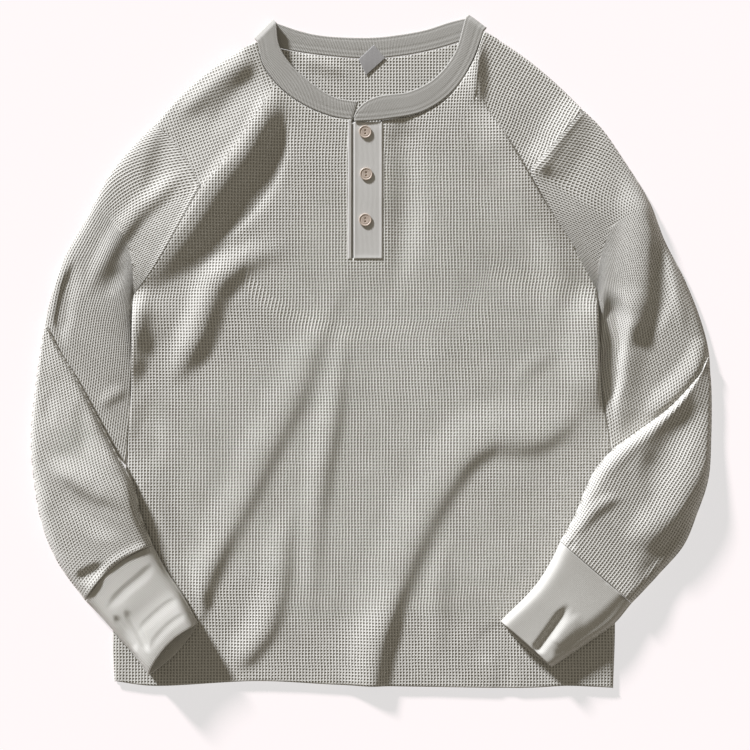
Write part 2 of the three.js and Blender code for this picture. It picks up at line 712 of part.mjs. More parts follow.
// How far the armhole runs aside from the straight line between its ends, at share s from its top
function armholeBend(armhole, s) {
  const cells = armhole.length - 1;
  const i = Math.min(cells - 1, Math.floor(s * cells));
  const point = armhole[i].clone().lerp(armhole[i + 1], s * cells - i);
  return point.sub(armhole[0].clone().lerp(armhole[cells], s));
}

function makeTube(spec, cloth, folds, armhole = null, cellShift = 0) {
  const { outside, inside } = tubeRings(spec, cloth, folds, armhole, cellShift);
  return wall(outside, inside, true);
}

function makeSleeve(sleeve, armhole) {
  const folds = preparedFolds(sleeve.folds);
  const upper = makeTube(sleeve.upper, CLOTH, folds, [...armhole].reverse());
  const forearm = makeTube(sleeve.forearm, CLOTH, folds);
  return upper.add(forearm);
}

function makeCuff(sleeve) {
  const length = flatCurve(sleeve.cuff.outer).getLength();
  return makeTube(sleeve.cuff, CUFF_CLOTH, [], null, (2 * SEAM_GAP) / length);
}

// Buttons and label

function makeButton({ x, y }) {
  const { radius, thickness, rim, dish, hole, holeApart, sides } = BUTTON;
  const profile = [
    [0, 0],
    [radius - 0.8, 0],
    [radius, thickness * 0.35],
    [radius, thickness * 0.7],
    [radius - 0.5, thickness],
    [radius - rim, thickness],
    [radius - rim - 0.6, thickness - dish],
    [0, thickness - dish],
  ];
  const blank = new THREE.LatheGeometry(profile.map(([r, h]) => new THREE.Vector2(r, h)), sides);
  blank.rotateX(Math.PI / 2);
  const holes = [-1, 1].map((side) => {
    const drill = new THREE.CylinderGeometry(hole, hole, 4 * thickness, 8);
    drill.rotateX(Math.PI / 2);
    drill.translate(0, (side * holeApart) / 2, 0);
    return solidOf(drill);
  });
  const pierced = holes.reduce((solid, drill) => solid.subtract(drill), solidOf(blank));
  const around = [-radius, 0, radius];
  const seats = around.flatMap((dx) => around.map((dy) => frontHeight(x + dx, y + dy)));
  return { solid: pierced, x, y, z: Math.max(...seats) + PLACKET_LIFT + SEAM_GAP };
}

// The shirt

const shirt = new THREE.Group();
shirt.name = "henley_shirt";

function addPiece(name, solid, colour, roughness, place = { x: 0, y: 0, z: 0 }) {
  const material = new THREE.MeshStandardMaterial({ color: colour, roughness, metalness: 0 });
  const mesh = new THREE.Mesh(geometryOf(solid), material);
  mesh.name = name;
  mesh.position.set(place.x, place.y, place.z);
  shirt.add(mesh);
}

addPiece("back", makeBack(), KNIT_COLOUR, 0.95);
addPiece("front", makeFront(), KNIT_COLOUR, 0.95);
addPiece("sleeve_left", makeSleeve(SLEEVES[0], leftArmhole), KNIT_COLOUR, 0.95);
addPiece("sleeve_right", makeSleeve(SLEEVES[1], rightArmhole), KNIT_COLOUR, 0.95);
addPiece("cuff_left", makeCuff(SLEEVES[0]), RIB_COLOUR, 0.95);
addPiece("cuff_right", makeCuff(SLEEVES[1]), RIB_COLOUR, 0.95);
addPiece("neckband", makeNeckband(), RIB_COLOUR, 0.95);

const overStrip = placketGrid(0, PLACKET_LIFT);
const underStrip = placketGrid(PLACKET_UNDER_MARGIN, -PLACKET_UNDER_DROP);
addPiece("placket_over", wall(overStrip, lowered(overStrip, PLACKET_CLOTH)), RIB_COLOUR, 0.9);
addPiece("placket_under", wall(underStrip, lowered(underStrip, PLACKET_CLOTH)), RIB_COLOUR, 0.9);

BUTTON_PLACES.forEach((place, i) => {
  const { solid, x, y, z } = makeButton(place);
  addPiece(`button_${i + 1}`, solid, BUTTON_COLOUR, 0.45, { x, y, z });
});

const labelOutline = LABEL.corners.map(([x, y]) => ({ x, y }));
addPiece("neck_label", extruded(labelOutline, LABEL.thickness, LABEL.lift), LABEL_COLOUR, 0.8);

// The origin goes to the middle of the shirt's underside
const box = new THREE.Box3().setFromObject(shirt);
shirt.position.set(-(box.min.x + box.max.x) / 2, -(box.min.y + box.max.y) / 2, -box.min.z);

export default shirt;
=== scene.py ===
# The henley shirt's cloth, seams, buttons and materials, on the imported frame.
import math
from collections import namedtuple

import bmesh
import bpy
import numpy as np
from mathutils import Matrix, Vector, noise


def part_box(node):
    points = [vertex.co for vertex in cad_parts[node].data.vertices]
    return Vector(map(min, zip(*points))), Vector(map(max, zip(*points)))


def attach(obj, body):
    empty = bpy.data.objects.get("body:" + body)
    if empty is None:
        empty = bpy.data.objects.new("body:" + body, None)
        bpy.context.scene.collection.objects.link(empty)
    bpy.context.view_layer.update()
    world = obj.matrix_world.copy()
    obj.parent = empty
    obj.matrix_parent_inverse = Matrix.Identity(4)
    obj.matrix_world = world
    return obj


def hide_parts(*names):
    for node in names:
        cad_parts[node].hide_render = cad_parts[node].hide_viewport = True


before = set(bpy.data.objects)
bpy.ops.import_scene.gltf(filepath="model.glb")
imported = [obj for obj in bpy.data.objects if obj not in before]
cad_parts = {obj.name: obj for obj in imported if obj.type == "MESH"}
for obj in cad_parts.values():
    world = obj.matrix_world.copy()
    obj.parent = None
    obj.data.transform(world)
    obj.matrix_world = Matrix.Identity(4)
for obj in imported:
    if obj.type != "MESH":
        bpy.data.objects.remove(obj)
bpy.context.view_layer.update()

# The part's own table coordinates are millimetres. The label's corner ties them to the frame.
LABEL_LOW = np.array([-13.0, 290.0, 2.4])
SHIFT = np.array(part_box("neck_label")[0]) - LABEL_LOW * 0.001

# Cloth and clearances, in millimetres, as in the part's source
CLOTH = 1.8
CUFF_CLOTH = 2.0
BAND_CLOTH = 2.0
SEAM_SHIFT = 0.45
BACK_REACH = 3.5
FRONT_LOWEST = 3.9
UNDER_SLEEVE_HIGHEST = 6.2
SIDE, LOW, HIGH, SHOULDER, NECK, MIDDLE = 22, 7, 6, 9, 10, 1
EDGE_PULL = 5
HEM_HEIGHT = 4.4
SIDE_HEIGHT = 4.2
SIDE_RISE = 1.8
BESIDE_SLEEVE = 13
NECK_HEIGHT = 9.0
SHOULDER_HEIGHT = 4.6
LEFT_BULGE, RIGHT_BULGE = 11, 7
ARMHOLE_PUFF = 9.5
TUBE_EDGE = 4.4
TUBE_LEAST = 4.1
OUTER_POWER, INNER_POWER = 14, 3.6
UNDERARM_LAG = 2.2
FADE_SHOULDER, FADE_UNDERARM = 0.38, 0.04

# Edges of the body
HEM = [
    (-269, -345), (-230, -350), (-117, -345), (-33, -349),
    (54, -351), (168, -352), (205, -350), (254, -352),
]
LEFT_SIDE = [(-269, -345), (-271, -296), (-257, -121), (-251, -34), (-250, 59)]
RIGHT_SIDE = [(254, -352), (256, -281), (252, -101), (242, -45), (238, 63)]
LEFT_LOW = [(-250, 59), (-227, 88), (-177, 174)]
LEFT_HIGH = [(-177, 174), (-192, 200), (-208, 222), (-227, 239)]
RIGHT_LOW = [(238, 63), (211, 110), (185, 148), (166, 191)]
RIGHT_HIGH = [(166, 191), (195, 222), (222, 254)]

# The neckband: free edge x and y, sewn edge x and y, height
BAND_LEFT_FRONT = [
    (-13, 262, -19, 243, 7), (-39, 267, -39, 246, 7.6), (-63, 282, -67, 257, 8),
    (-84, 301, -93, 275, 8), (-96, 321, -112, 299, 8), (-99, 345, -119, 325, 7.8),
]
BAND_LEFT_FOLD = [(-99, 345, -119, 325, 7.8), (-102, 348, -122, 328, 4.6), (-99, 345, -119, 325, 1.4)]
BAND_BACK = [
    (-99, 345, -119, 325, 1.4), (-75, 337, -87, 317, 1), (-51, 332, -56, 312, 1), (0, 330, -3, 308, 1),
    (30, 333, 33, 311, 1), (57, 338, 64, 317, 1), (82, 346, 94, 326, 1), (99, 350, 118, 336, 1.4),
]
BAND_RIGHT_FOLD = [(99, 350, 118, 336, 1.4), (102, 353, 121, 339, 4.7), (99, 350, 118, 336, 8)]
BAND_RIGHT_FRONT = [
    (99, 350, 118, 336, 8), (87, 312, 106, 303, 8.4), (66, 286, 84, 271, 8.6),
    (39, 272, 54, 251, 9), (10, 268, 18, 243.5, 9.6), (-5, 262, 0, 241.5, 10),
    (-13.5, 254, -12, 240.8, 10.2), (-18, 246, -17, 240.5, 10.3),
]

# Folds: height, width of the slope on the lit side and on the shaded one, which is the left of the
# path's heading, and the shares of the path's length that rise at its head and sink at its tail
Fold = namedtuple("Fold", "name height lit shade head tail path")
FRONT_FOLDS = [
    Fold("armhole crease", -2.4, 30, 7, 0.3, 0.35,
         [(-91, 271), (-89, 233), (-94, 204), (-106, 172), (-123, 148), (-147, 128), (-182, 107)]),
    Fold("left chest pucker", 6.8, 26, 24, 0.45, 0.3,
         [(-75, 111), (-110, 103), (-139, 91), (-163, 71), (-172, 48), (-184, 14), (-200, -16),
          (-216, -38)]),
    Fold("left side ridge", 5.6, 9, 22, 0.3, 0.3,
         [(-234, 71), (-244, 50), (-249, 18), (-250, -10), (-248, -40)]),
    Fold("left side slope", 3.4, 8, 44, 0.35, 0.4, [(-232, 69), (-239, 49), (-244, 23), (-245, -4)]),
    Fold("left long fold", 3.4, 36, 20, 0.4, 0.2,
         [(-18, 90), (-35, 57), (-51, 23), (-66, -10), (-79, -45), (-91, -71), (-108, -103),
          (-131, -152), (-149, -187), (-170, -232), (-182, -273), (-185, -302)]),
    Fold("left long fold's foot", 1.8, 24, 14, 0.5, 0.25,
         [(-140, -168), (-151, -191), (-170, -232), (-182, -273), (-185, -302)]),
    Fold("middle long fold", 3.8, 24, 17, 0.35, 0.6,
         [(-25, 38), (-29, 2), (-35, -35), (-39, -61), (-45, -92), (-52, -132), (-56, -168), (-60, -218),
          (-63, -260), (-68, -318)]),
    Fold("hem finger", 4, 30, 16, 0.4, 0.1,
         [(-78, -153), (-90, -192), (-94, -229), (-100, -262), (-110, -292), (-126, -313), (-142, -332)]),
    Fold("right long fold", 4.2, 48, 21, 0.2, 0.02,
         [(227, -38), (212, -64), (191, -84), (162, -94), (132, -92), (102, -108), (77, -142),
          (57, -177), (43, -209), (29, -245), (17, -279), (7, -313), (0, -357)]),
    Fold("right hem swell", 3.2, 34, 17, 0.6, 0.02, [(39, -218), (23, -262), (9, -308), (0, -357)]),
    Fold("right hem fold", 2, 18, 18, 0.4, 0.3, [(84, -187), (72, -231), (69, -276), (74, -326)]),
    Fold("placket trough", -4.2, 15, 26, 0.15, 0.5, [(29, 252), (35, 202), (34, 149), (30, 99), (23, 48)]),
    Fold("right chest ridge", 2.8, 30, 30, 0.4, 0.5, [(182, 162), (192, 107), (194, 63), (182, 2)]),
    Fold("right pucker", 1.2, 13, 12, 0.5, 0.5, [(207, 6), (177, -8), (156, -25), (146, -48)]),
    Fold("neck ridge", 5.4, 15, 13, 0.15, 0.45,
         [(110, 328), (111, 304), (110, 284), (113, 266), (120, 250)]),
    Fold("right side ridge", 6.6, 46, 6, 0.3, 0.35,
         [(230, 78), (235, 49), (236, 7), (237, -32), (240, -76)]),
    Fold("right cuff crease", -1.8, 16, 14, 0.4, 0.4, [(150, -290), (129, -302), (106, -321)]),
    Fold("right hem dent", -1.6, 10, 11, 0.4, 0.02, [(135, -294), (139, -323), (138, -357)]),
    Fold("beside the left forearm", 3, 12, 30, 0.3, 0.1,
         [(-249, -103), (-236, -153), (-219, -206), (-196, -250), (-176, -277)]),
    Fold("left waist hollow", -1.6, 20, 24, 0.4, 0.4,
         [(-226, -38), (-232, -63), (-234, -92), (-230, -130)]),
]

# Folds that cross an armhole seam
SHARED_FOLDS = [
    Fold("armhole ridge", 6.8, 66, 38, 0.22, 0.45,
         [(-96, 286), (-108, 258), (-122, 233), (-134, 211), (-152, 188), (-168, 163), (-183, 135),
          (-204, 107), (-226, 80), (-245, 52)]),
    Fold("armhole ridge's crest", 3.8, 15, 34, 0.15, 0.45,
         [(-94, 288), (-107, 258), (-121, 233), (-135, 211), (-156, 188), (-175, 163), (-191, 135),
          (-211, 107), (-229, 80), (-244, 52)]),
    Fold("left shoulder ridge", 3.6, 13, 21, 0.15, 0.3,
         [(-123, 313), (-148, 294), (-175, 271), (-207, 246)]),
    Fold("left shoulder trough", -1.8, 14, 26, 0.2, 0.4,
         [(-112, 300), (-135, 273), (-154, 252), (-177, 227)]),
    Fold("left seam dip", -1.8, 16, 18, 0.4, 0.4, [(-211, 246), (-219, 214), (-227, 185), (-238, 153)]),
    Fold("right seam ridge", 1.3, 7, 11, 0.12, 0.12, [(224, 262), (205, 236), (189, 211), (172, 183)]),
    Fold("right seam swell", 4.2, 26, 36, 0.15, 0.2, [(224, 262), (205, 236), (189, 211), (172, 183)]),
]

BACK_FOLDS = [
    Fold("inner neck fold", 1.8, 8, 14, 0.4, 0.3, [(-20, 291), (-46, 301), (-78, 310)]),
]

# The edge that the front's fold makes beside the right sleeve: its height, how far its foot is sunk, the
# shares of its length that rise and sink, the width of its slope and of its rounding, and its section
LIP_HEIGHT, LIP_SUNK = 7, 0.4
LIP_HEAD, LIP_TAIL = 0.3, 0.5
LIP_SLOPE, LIP_ROUND, LIP_THICKNESS = 37, 2.2, 1.1
LIP_STATIONS = 90
LIP_OFFSETS = [-40, -33, -26, -19, -13, -8, -4.5, -2.2, -1, -0.4, 0.0, 0.1]
RIGHT_LIP = [(118, 268), (122.5, 254), (138.6, 231), (157.5, 199.5), (170.7, 176.6), (187, 149), (214, 108)]

# Where the grain turns: right of a line or left of it, by an angle in degrees
LEFT_TURN = [(-103, 300), (-103, 276), (-128, 237), (-144, 212), (-167, 183), (-191, 154)]
RIGHT_TURN = [(112, 300), (118, 268), (122.5, 254), (138.6, 231), (157.5, 199.5), (170.7, 176.6)]
LEFT_TURN_ANGLE, RIGHT_TURN_ANGLE = 19, -24

LEFT_UPPER_FOLDS = [
    Fold("upper ridge", 3.4, 16, 16, 0.25, 0.35,
         [(-190, 195), (-219, 168), (-245, 145), (-264, 122), (-276, 101), (-288, 80), (-301, 50)]),
    Fold("lower pocket", -1.6, 11, 14, 0.4, 0.4, [(-255, 94), (-269, 76), (-282, 55)]),
    Fold("elbow pocket", -3.6, 9, 18, 0.35, 0.3,
         [(-307, 101), (-318, 74), (-324, 48), (-326, 27), (-320, 6)]),
    Fold("underarm pucker", 1.4, 10, 11, 0.4, 0.3, [(-287, -61), (-270, -46), (-251, -39)]),
]
LEFT_FOREARM_FOLDS = [
    Fold("forearm dent", -1.4, 14, 17, 0.4, 0.4, [(-297, -38), (-301, -76), (-295, -116)]),
    Fold("edge dent", -1, 10, 14, 0.4, 0.4, [(-333, -36), (-338, -61), (-333, -82)]),
    Fold("long crease", 3.2, 24, 15, 0.35, 0.35,
         [(-251, -168), (-272, -152), (-293, -142), (-318, -126), (-341, -105)]),
    Fold("long trough", -3.4, 20, 22, 0.4, 0.3,
         [(-253, -191), (-276, -183), (-297, -167), (-320, -147), (-339, -126)]),
    Fold("cuff pocket", -3, 10, 13, 0.4, 0.3, [(-272, -220), (-291, -230), (-310, -239)]),
    Fold("seam lip", 1.3, 8, 3.5, 0.1, 0.15,
         [(-227, -201), (-236, -204), (-260, -215), (-278, -229), (-285, -240), (-297, -260)]),
]
LEFT_CUFF_FOLDS = [
    Fold("first crease", -1.1, 6, 10, 0.25, 0.25,
         [(-224, -218), (-240, -234), (-259, -250), (-276, -269)]),
    Fold("second crease", -0.7, 5, 9, 0.3, 0.3, [(-192, -252), (-211, -262), (-230, -278), (-247, -296)]),
    Fold("mouth crease", -0.7, 5, 7, 0.3, 0.3, [(-184, -267), (-205, -280), (-222, -297), (-232, -314)]),
    Fold("edge pucker one", -2.4, 5, 6, 0.2, 0.2, [(-268, -273), (-255, -292), (-243, -313)]),
    Fold("edge pucker two", -2.2, 5, 6, 0.2, 0.2, [(-257, -267), (-243, -290), (-230, -313)]),
]
RIGHT_UPPER_FOLDS = [
    Fold("outer ridge", 5.5, 32, 25, 0.3, 0.15,
         [(264, 202), (280, 165), (285, 118), (282, 76), (276, 36), (269, 2)]),
    Fold("outer trough", -2, 18, 12, 0.3, 0.3, [(298, 130), (304, 94), (306, 55), (297, 15)]),
    Fold("second ridge", 2.2, 9, 16, 0.3, 0.4, [(307, 126), (316, 92), (321, 55), (327, 13)]),
    Fold("underarm strip", -9, 20, 15, 0.25, 0.3,
         [(243, 65), (254, 42), (254, 7), (252, -27), (251, -63)]),
    Fold("underarm edge", 3, 8, 26, 0.2, 0.2,
         [(250, 71), (272, 42), (270, 17), (263, -19), (259, -56), (258, -92)]),
    Fold("elbow rise", 5, 22, 12, 0.12, 0.25, [(358, 17), (348, -6), (333, -27), (312, -50), (285, -71)]),
]
RIGHT_FOREARM_FOLDS = [
    Fold("forearm ridge", 2.2, 12, 22, 0.2, 0.3,
         [(339, -27), (312, -52), (282, -78), (253, -103), (236, -124), (225, -153)]),
    Fold("upper hollow", -3.3, 24, 26, 0.35, 0.35,
         [(346, -46), (331, -71), (314, -92), (298, -120), (290, -160)]),
    Fold("bump", 1.9, 10, 12, 0.3, 0.3,
         [(266, -153), (249, -154), (232, -165), (215, -181), (203, -195)]),
    Fold("outer swell", 4.4, 30, 30, 0.4, 0.3, [(335, -92), (327, -151), (298, -181), (259, -203)]),
    Fold("lower edge slope", -3.3, 27, 32, 0.4, 0.2,
         [(350, -124), (339, -178), (308, -218), (276, -250)]),
    Fold("seam pucker", -1.6, 5, 7, 0.4, 0.4, [(213, -195), (202, -208)]),
]
RIGHT_CUFF_FOLDS = [
    Fold("deep crease", -3.6, 8, 9, 0.3, 0.08, [(207, -262), (194, -281), (182, -298), (171, -313)]),
    Fold("crease ridge", 1, 7, 14, 0.3, 0.1, [(219, -271), (205, -286), (190, -304)]),
    Fold("lower edge slope", -4, 20, 24, 0.1, 0.1,
         [(278, -258), (247, -286), (219, -307), (194, -328)]),
    Fold("seam pucker one", -1.2, 6, 6, 0.4, 0.4, [(255, -227), (243, -242)]),
    Fold("seam pucker two", -1.2, 6, 6, 0.4, 0.4, [(274, -242), (261, -260)]),
]

# Where a forearm and its cuff press the front flat: a line's two ends, the radius round it and the fade
PRESSED = [
    (-283, -110, -218, -275, 36, 12), (-240, -300, -275, -250, 40, 14),
    (276, -100, 192, -272, 44, 12), (262, -200, 225, -285, 46, 14),
]

# Tubes: the two edges and, at share t, both edges' low heights, the depth and how far the middles run ahead
Row = namedtuple("Row", "t low_outer low_inner depth ahead ahead_low")
Tube = namedtuple("Tube", "outer inner rows")
LEFT_UPPER = Tube(
    [(-227.5, 239), (-252, 214), (-275, 185), (-300, 137),
     (-324, 93), (-338, 48), (-346, 8), (-350, -20)],
    [(-249.5, 59), (-251, 30), (-251, -20), (-253, -70), (-257, -118)],
    [Row(0, 0, 0, ARMHOLE_PUFF, 0, 0), Row(0.35, 0, 0, 7.6, 0, 0),
     Row(0.7, 0, 0, 6.8, 0, 0), Row(1, 0, 0, 5.4, 0, 0)],
)
LEFT_FOREARM = Tube(
    [(-343, 24), (-350, -20), (-357, -88), (-354, -133), (-346, -178), (-329, -220), (-299, -261)],
    [(-338, 26), (-326, 2), (-309, -25), (-287, -66),
     (-266, -106), (-248, -139), (-240, -171), (-228, -202)],
    [Row(0, 2, 4.6, 5.2, 0, 0), Row(0.2, 0, 4.8, 7.6, 0, 0), Row(0.48, 0, 5.2, 12, 0, 0),
     Row(0.66, 0, 7.2, 16, -2, -2), Row(0.8, 0, 7.4, 17, -4, -4), Row(1, 3, 7.2, 15, -9, -9)],
)
LEFT_CUFF = Tube(
    [(-299, -261), (-283, -277), (-252, -312), (-233, -337)],
    [(-228, -202), (-213, -230), (-198, -252), (-181, -283)],
    [Row(0, 3, 7.2, 14, -9, -9), Row(0.5, 6.8, 7, 14, -7, -2), Row(1, 6.8, 7, 21, -8, 5)],
)
RIGHT_UPPER = Tube(
    [(222.5, 254), (243, 234), (265, 202), (292, 158), (308, 117),
     (329, 76), (345, 36), (354, 2), (356.5, -40)],
    [(237.5, 63), (238, 40), (238.5, 10), (240, -30), (245, -64), (254, -112)],
    [Row(0, 0, 0, ARMHOLE_PUFF, 0, 0), Row(0.35, 0, 0, 12.5, 0, 0),
     Row(0.7, 0, 0, 10, 0, 0), Row(1, 0, 0, 7, 0, 0)],
)
RIGHT_FOREARM = Tube(
    [(354, -6), (357, -40), (357, -88), (354, -133), (342, -170), (328, -203), (302, -233), (273, -263)],
    [(351, -8), (339, -28), (312, -58), (281, -81), (254, -101),
     (237, -119), (226, -139), (213, -171), (198, -198)],
    [Row(0, 2, 6.5, 5.2, 0, 0), Row(0.2, 0, 8, 8.6, 0, 0), Row(0.5, 0, 8.5, 15, 0, 0),
     Row(0.8, 0, 7.5, 15, 0, 0), Row(1, 4, 7.2, 13, 0, 0)],
)
RIGHT_CUFF = Tube(
    [(273, -263), (255, -284), (230, -302), (190, -329)],
    [(198, -198), (188, -219), (172, -244), (136, -281)],
    [Row(0, 4, 7.2, 13, 0, 0), Row(0.5, 6.8, 7, 13, 0, 0), Row(1, 6.8, 7, 12, -1, 3)],
)

# Placket strips: left, right, bottom, top, lift, thickness and the beads on the left, right and bottom.
# Then the placket's slot, the buttons' middles and the label's corners
PLACKET_LIFT = -0.85
OVER_STRIP = (-18.2, 12.4, 97, 240.5, PLACKET_LIFT, 1.3, (0.25, 0.55, 0.55))
UNDER_STRIP = (-22.2, 14.2, 94.8, 240, -3.8, 1.5)
PIPING = (-24.2, -20.2, 97, 243, -0.6, 1.0, (0.3, 0.3, 0))
SLOT_LEFT, SLOT_RIGHT, SLOT_BOTTOM = -20.4, 11.6, 98
BUTTONS = [(-6, 230), (-5, 186), (-6, 138)]
LABEL = [(3, 322), (15, 308), (-5, 290), (-13, 307)]


# Numbers and curves

def mix(a, b, share):
    return a + (b - a) * share


def ease(value):
    v = np.clip(value, 0, 1)
    return v * v * (3 - 2 * v)


def roll(distance, width):
    """Rises from 0 at an edge to 1 at that width, as a quarter of a circle does."""
    d = 1 - np.clip(np.asarray(distance) / width, 0, 1)
    return np.sqrt(np.clip(1 - d * d, 0, 1))


def curve(points, shares):
    """A centripetal Catmull-Rom curve at shares of its number of stretches."""
    p = np.array([tuple(q) + (0,) * (3 - len(q)) for q in points], float)
    p = np.vstack([2 * p[0] - p[1], p, 2 * p[-1] - p[-2]])
    count = len(p) - 3
    place = np.clip(np.asarray(shares, float), 0, 1) * count
    k = np.minimum(place.astype(int), count - 1)
    w = (place - k)[:, None]
    step = np.sqrt(np.linalg.norm(np.diff(p, axis=0), axis=1))
    d0, d1, d2 = step[k][:, None], step[k + 1][:, None], step[k + 2][:, None]
    a, b, c, d = p[k], p[k + 1], p[k + 2], p[k + 3]
    t1 = ((b - a) / d0 - (c - a) / (d0 + d1) + (c - b) / d1) * d1
    t2 = ((c - b) / d1 - (d - b) / (d1 + d2) + (d - c) / d2) * d1
    return b + t1 * w + (3 * c - 3 * b - 2 * t1 - t2) * w**2 + (2 * b - 2 * c + t1 + t2) * w**3


def along(points, shares):
    """The same curve at shares of its length."""
    steps = np.linspace(0, 1, 500)
    dense = curve(points, steps)
    length = np.r_[0, np.cumsum(np.linalg.norm(np.diff(dense, axis=0), axis=1))]
    return curve(points, np.interp(np.asarray(shares, float) * length[-1], length, steps))


def heading(points, shares):
    ahead = along(points, np.clip(np.asarray(shares) + 0.004, 0, 1))
    behind = along(points, np.clip(np.asarray(shares) - 0.004, 0, 1))
    return (ahead - behind) / np.linalg.norm(ahead - behind, axis=1)[:, None]


def refined(cells, per_cell, ends=(0.04, 0.12, 0.25, 0.45, 0.7)):
    """Indexes 0 to cells with some in each cell, and a few more close to both ends."""
    extra = np.array(ends) / per_cell
    inner = np.arange(0, cells * per_cell + 1) / per_cell
    return np.unique(np.round(np.r_[inner, extra, cells - extra], 6))


def row_at(rows, t, field):
    """A column of a table of rows, eased between its rows."""
    value = np.full(np.shape(t), float(getattr(rows[0], field)))
    for a, b in zip(rows, rows[1:]):
        on = (t >= a.t) & (t <= b.t)
        share = ease((t - a.t) / (b.t - a.t))
        value = np.where(on, mix(getattr(a, field), getattr(b, field), share), value)
    return value


def tube_depth(s, depth, inner_power=INNER_POWER):
    """The height over a tube's width, fuller at its outer edge, which is at 0."""
    from_middle = np.abs(1 - 2 * np.clip(s, 0, 1))
    power = np.where(np.asarray(s) < 0.5, OUTER_POWER, inner_power)
    return TUBE_EDGE + (depth - TUBE_EDGE) * (1 - from_middle**power)


def fold_height(fold, x, y):
    line = along(fold.path, np.linspace(0, 1, 49))
    nearest = np.full(x.shape, np.inf)
    length = np.zeros(x.shape)
    side = np.zeros(x.shape)
    reach = max(fold.lit, fold.shade)
    low, high = line.min(0) - reach, line.max(0) + reach
    for i in range(len(line) - 1):
        ax, ay, _ = line[i]
        dx, dy, _ = line[i + 1] - line[i]
        share = np.clip(((x - ax) * dx + (y - ay) * dy) / (dx * dx + dy * dy), 0, 1)
        distance = np.hypot(x - ax - dx * share, y - ay - dy * share)
        closer = distance < nearest
        nearest = np.where(closer, distance, nearest)
        length = np.where(closer, (i + share) / (len(line) - 1), length)
        side = np.where(closer, dx * (y - ay) - dy * (x - ax), side)
    taper = ease(length / fold.head) * ease((1 - length) / fold.tail)
    width = np.where(side > 0, fold.shade, fold.lit) * (0.5 + 0.5 * taper)
    inside = (x > low[0]) & (x < high[0]) & (y > low[1]) & (y < high[1])
    rise = fold.height * taper * np.cos(np.pi / 2 * np.clip(nearest / width, 0, 1)) ** 2
    return np.where(inside, rise, 0)


def folds_at(folds, x, y):
    return sum(fold_height(fold, x, y) for fold in folds)


def waves(x, y, size, seed):
    """Smooth unevenness from -1 to 1 over a grid, of a given size in millimetres."""
    flat = np.c_[x.ravel() / size, y.ravel() / size]
    made = [noise.noise(Vector((a, b, seed))) for a, b in flat]
    return np.array(made).reshape(x.shape)


def unevenness(x, y):
    return 0.8 * waves(x, y, 70, 1.5) + 0.2 * waves(x, y, 28, 7.5)


def pressed_at(x, y):
    most = np.zeros(x.shape)
    for x0, y0, x1, y1, radius, fade in PRESSED:
        dx, dy = x1 - x0, y1 - y0
        share = np.clip(((x - x0) * dx + (y - y0) * dy) / (dx * dx + dy * dy), 0, 1)
        distance = np.hypot(x - x0 - dx * share, y - y0 - dy * share)
        most = np.maximum(most, ease(1 - (distance - radius) / fade))
    return most


# Meshes

def to_frame(points):
    return np.asarray(points, float).reshape(-1, 3) * 0.001 + SHIFT


def piece(name, points, faces, grain, material, replaced):
    """A mesh from points in table millimetres, with the cloth's own coordinates as its UV map."""
    mesh = bpy.data.meshes.new(name)
    mesh.from_pydata(to_frame(points).tolist(), [], faces)
    corners = np.empty(len(mesh.loops), int)
    mesh.loops.foreach_get("vertex_index", corners)
    layer = mesh.uv_layers.new(name="Grain")
    layer.data.foreach_set("uv", (np.asarray(grain, float).reshape(-1, 2)[corners] * 0.001).ravel())
    mesh.polygons.foreach_set("use_smooth", np.ones(len(mesh.polygons), bool))
    made = bpy.data.objects.new(name, mesh)
    bpy.context.collection.objects.link(made)
    outward(made)
    mesh.materials.append(material)
    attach(made, "root")
    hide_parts(*replaced)
    return made


def outward(made):
    """Turns a closed mesh to face out."""
    shape = bmesh.new()
    shape.from_mesh(made.data)
    bmesh.ops.recalc_face_normals(shape, faces=shape.faces)
    if shape.calc_volume(signed=True) < 0:
        bmesh.ops.reverse_faces(shape, faces=shape.faces)
    shape.to_mesh(made.data)
    shape.free()


def loft_faces(rows, columns, joined, start=0):
    """Faces between closed loops. Joined ends meet, and others get a cap."""
    at = lambda i, j: start + (i % rows) * columns + j % columns
    faces = []
    for i in range(rows if joined else rows - 1):
        for j in range(columns):
            faces.append((at(i, j), at(i, j + 1), at(i + 1, j + 1), at(i + 1, j)))
    if not joined:
        faces.append(tuple(at(0, j) for j in range(columns)))
        faces.append(tuple(at(rows - 1, j) for j in reversed(range(columns))))
    return faces


def round_rim(outer_ring, inner_ring, outer_next, bulge):
    """Rings that carry an outer ring round to an inner one, standing out by the bulge."""
    out = outer_ring - outer_next
    out = out / np.maximum(np.linalg.norm(out, axis=-1, keepdims=True), 1e-6)
    middle = (outer_ring + inner_ring) / 2
    half = (outer_ring - inner_ring) / 2
    angles = np.radians([35, 90, 145])
    return [middle + half * math.cos(a) + out * bulge * math.sin(a) for a in angles]


# Neckband

def band_edges(table, shares):
    free = curve([(r[0], r[1], r[4]) for r in table], shares)
    sewn = curve([(r[2], r[3], r[4]) for r in table], shares)
    return free, sewn


def beside_band(table, shares):
    free, sewn = band_edges(table, shares)
    away = (sewn - free) * (1, 1, 0)
    away /= np.linalg.norm(away, axis=1)[:, None]
    return (sewn + away * SEAM_SHIFT) * (1, 1, 0)


# The front's edges

LEFT_PARTS = [(LEFT_SIDE, SIDE), (LEFT_LOW, LOW), (LEFT_HIGH, HIGH)]
RIGHT_PARTS = [(RIGHT_SIDE, SIDE), (RIGHT_LOW, LOW), (RIGHT_HIGH, HIGH)]
ROWS = SIDE + LOW + HIGH
COLUMNS = 2 * (SHOULDER + NECK) + MIDDLE


def shoulder(start, end, share, bulge):
    """A shoulder line that stands out from the straight one by the bulge, in its middle."""
    line = mix(start, end, share[:, None])
    return line + (4 * share * (1 - share) * bulge)[:, None] * (0, 1, 0)


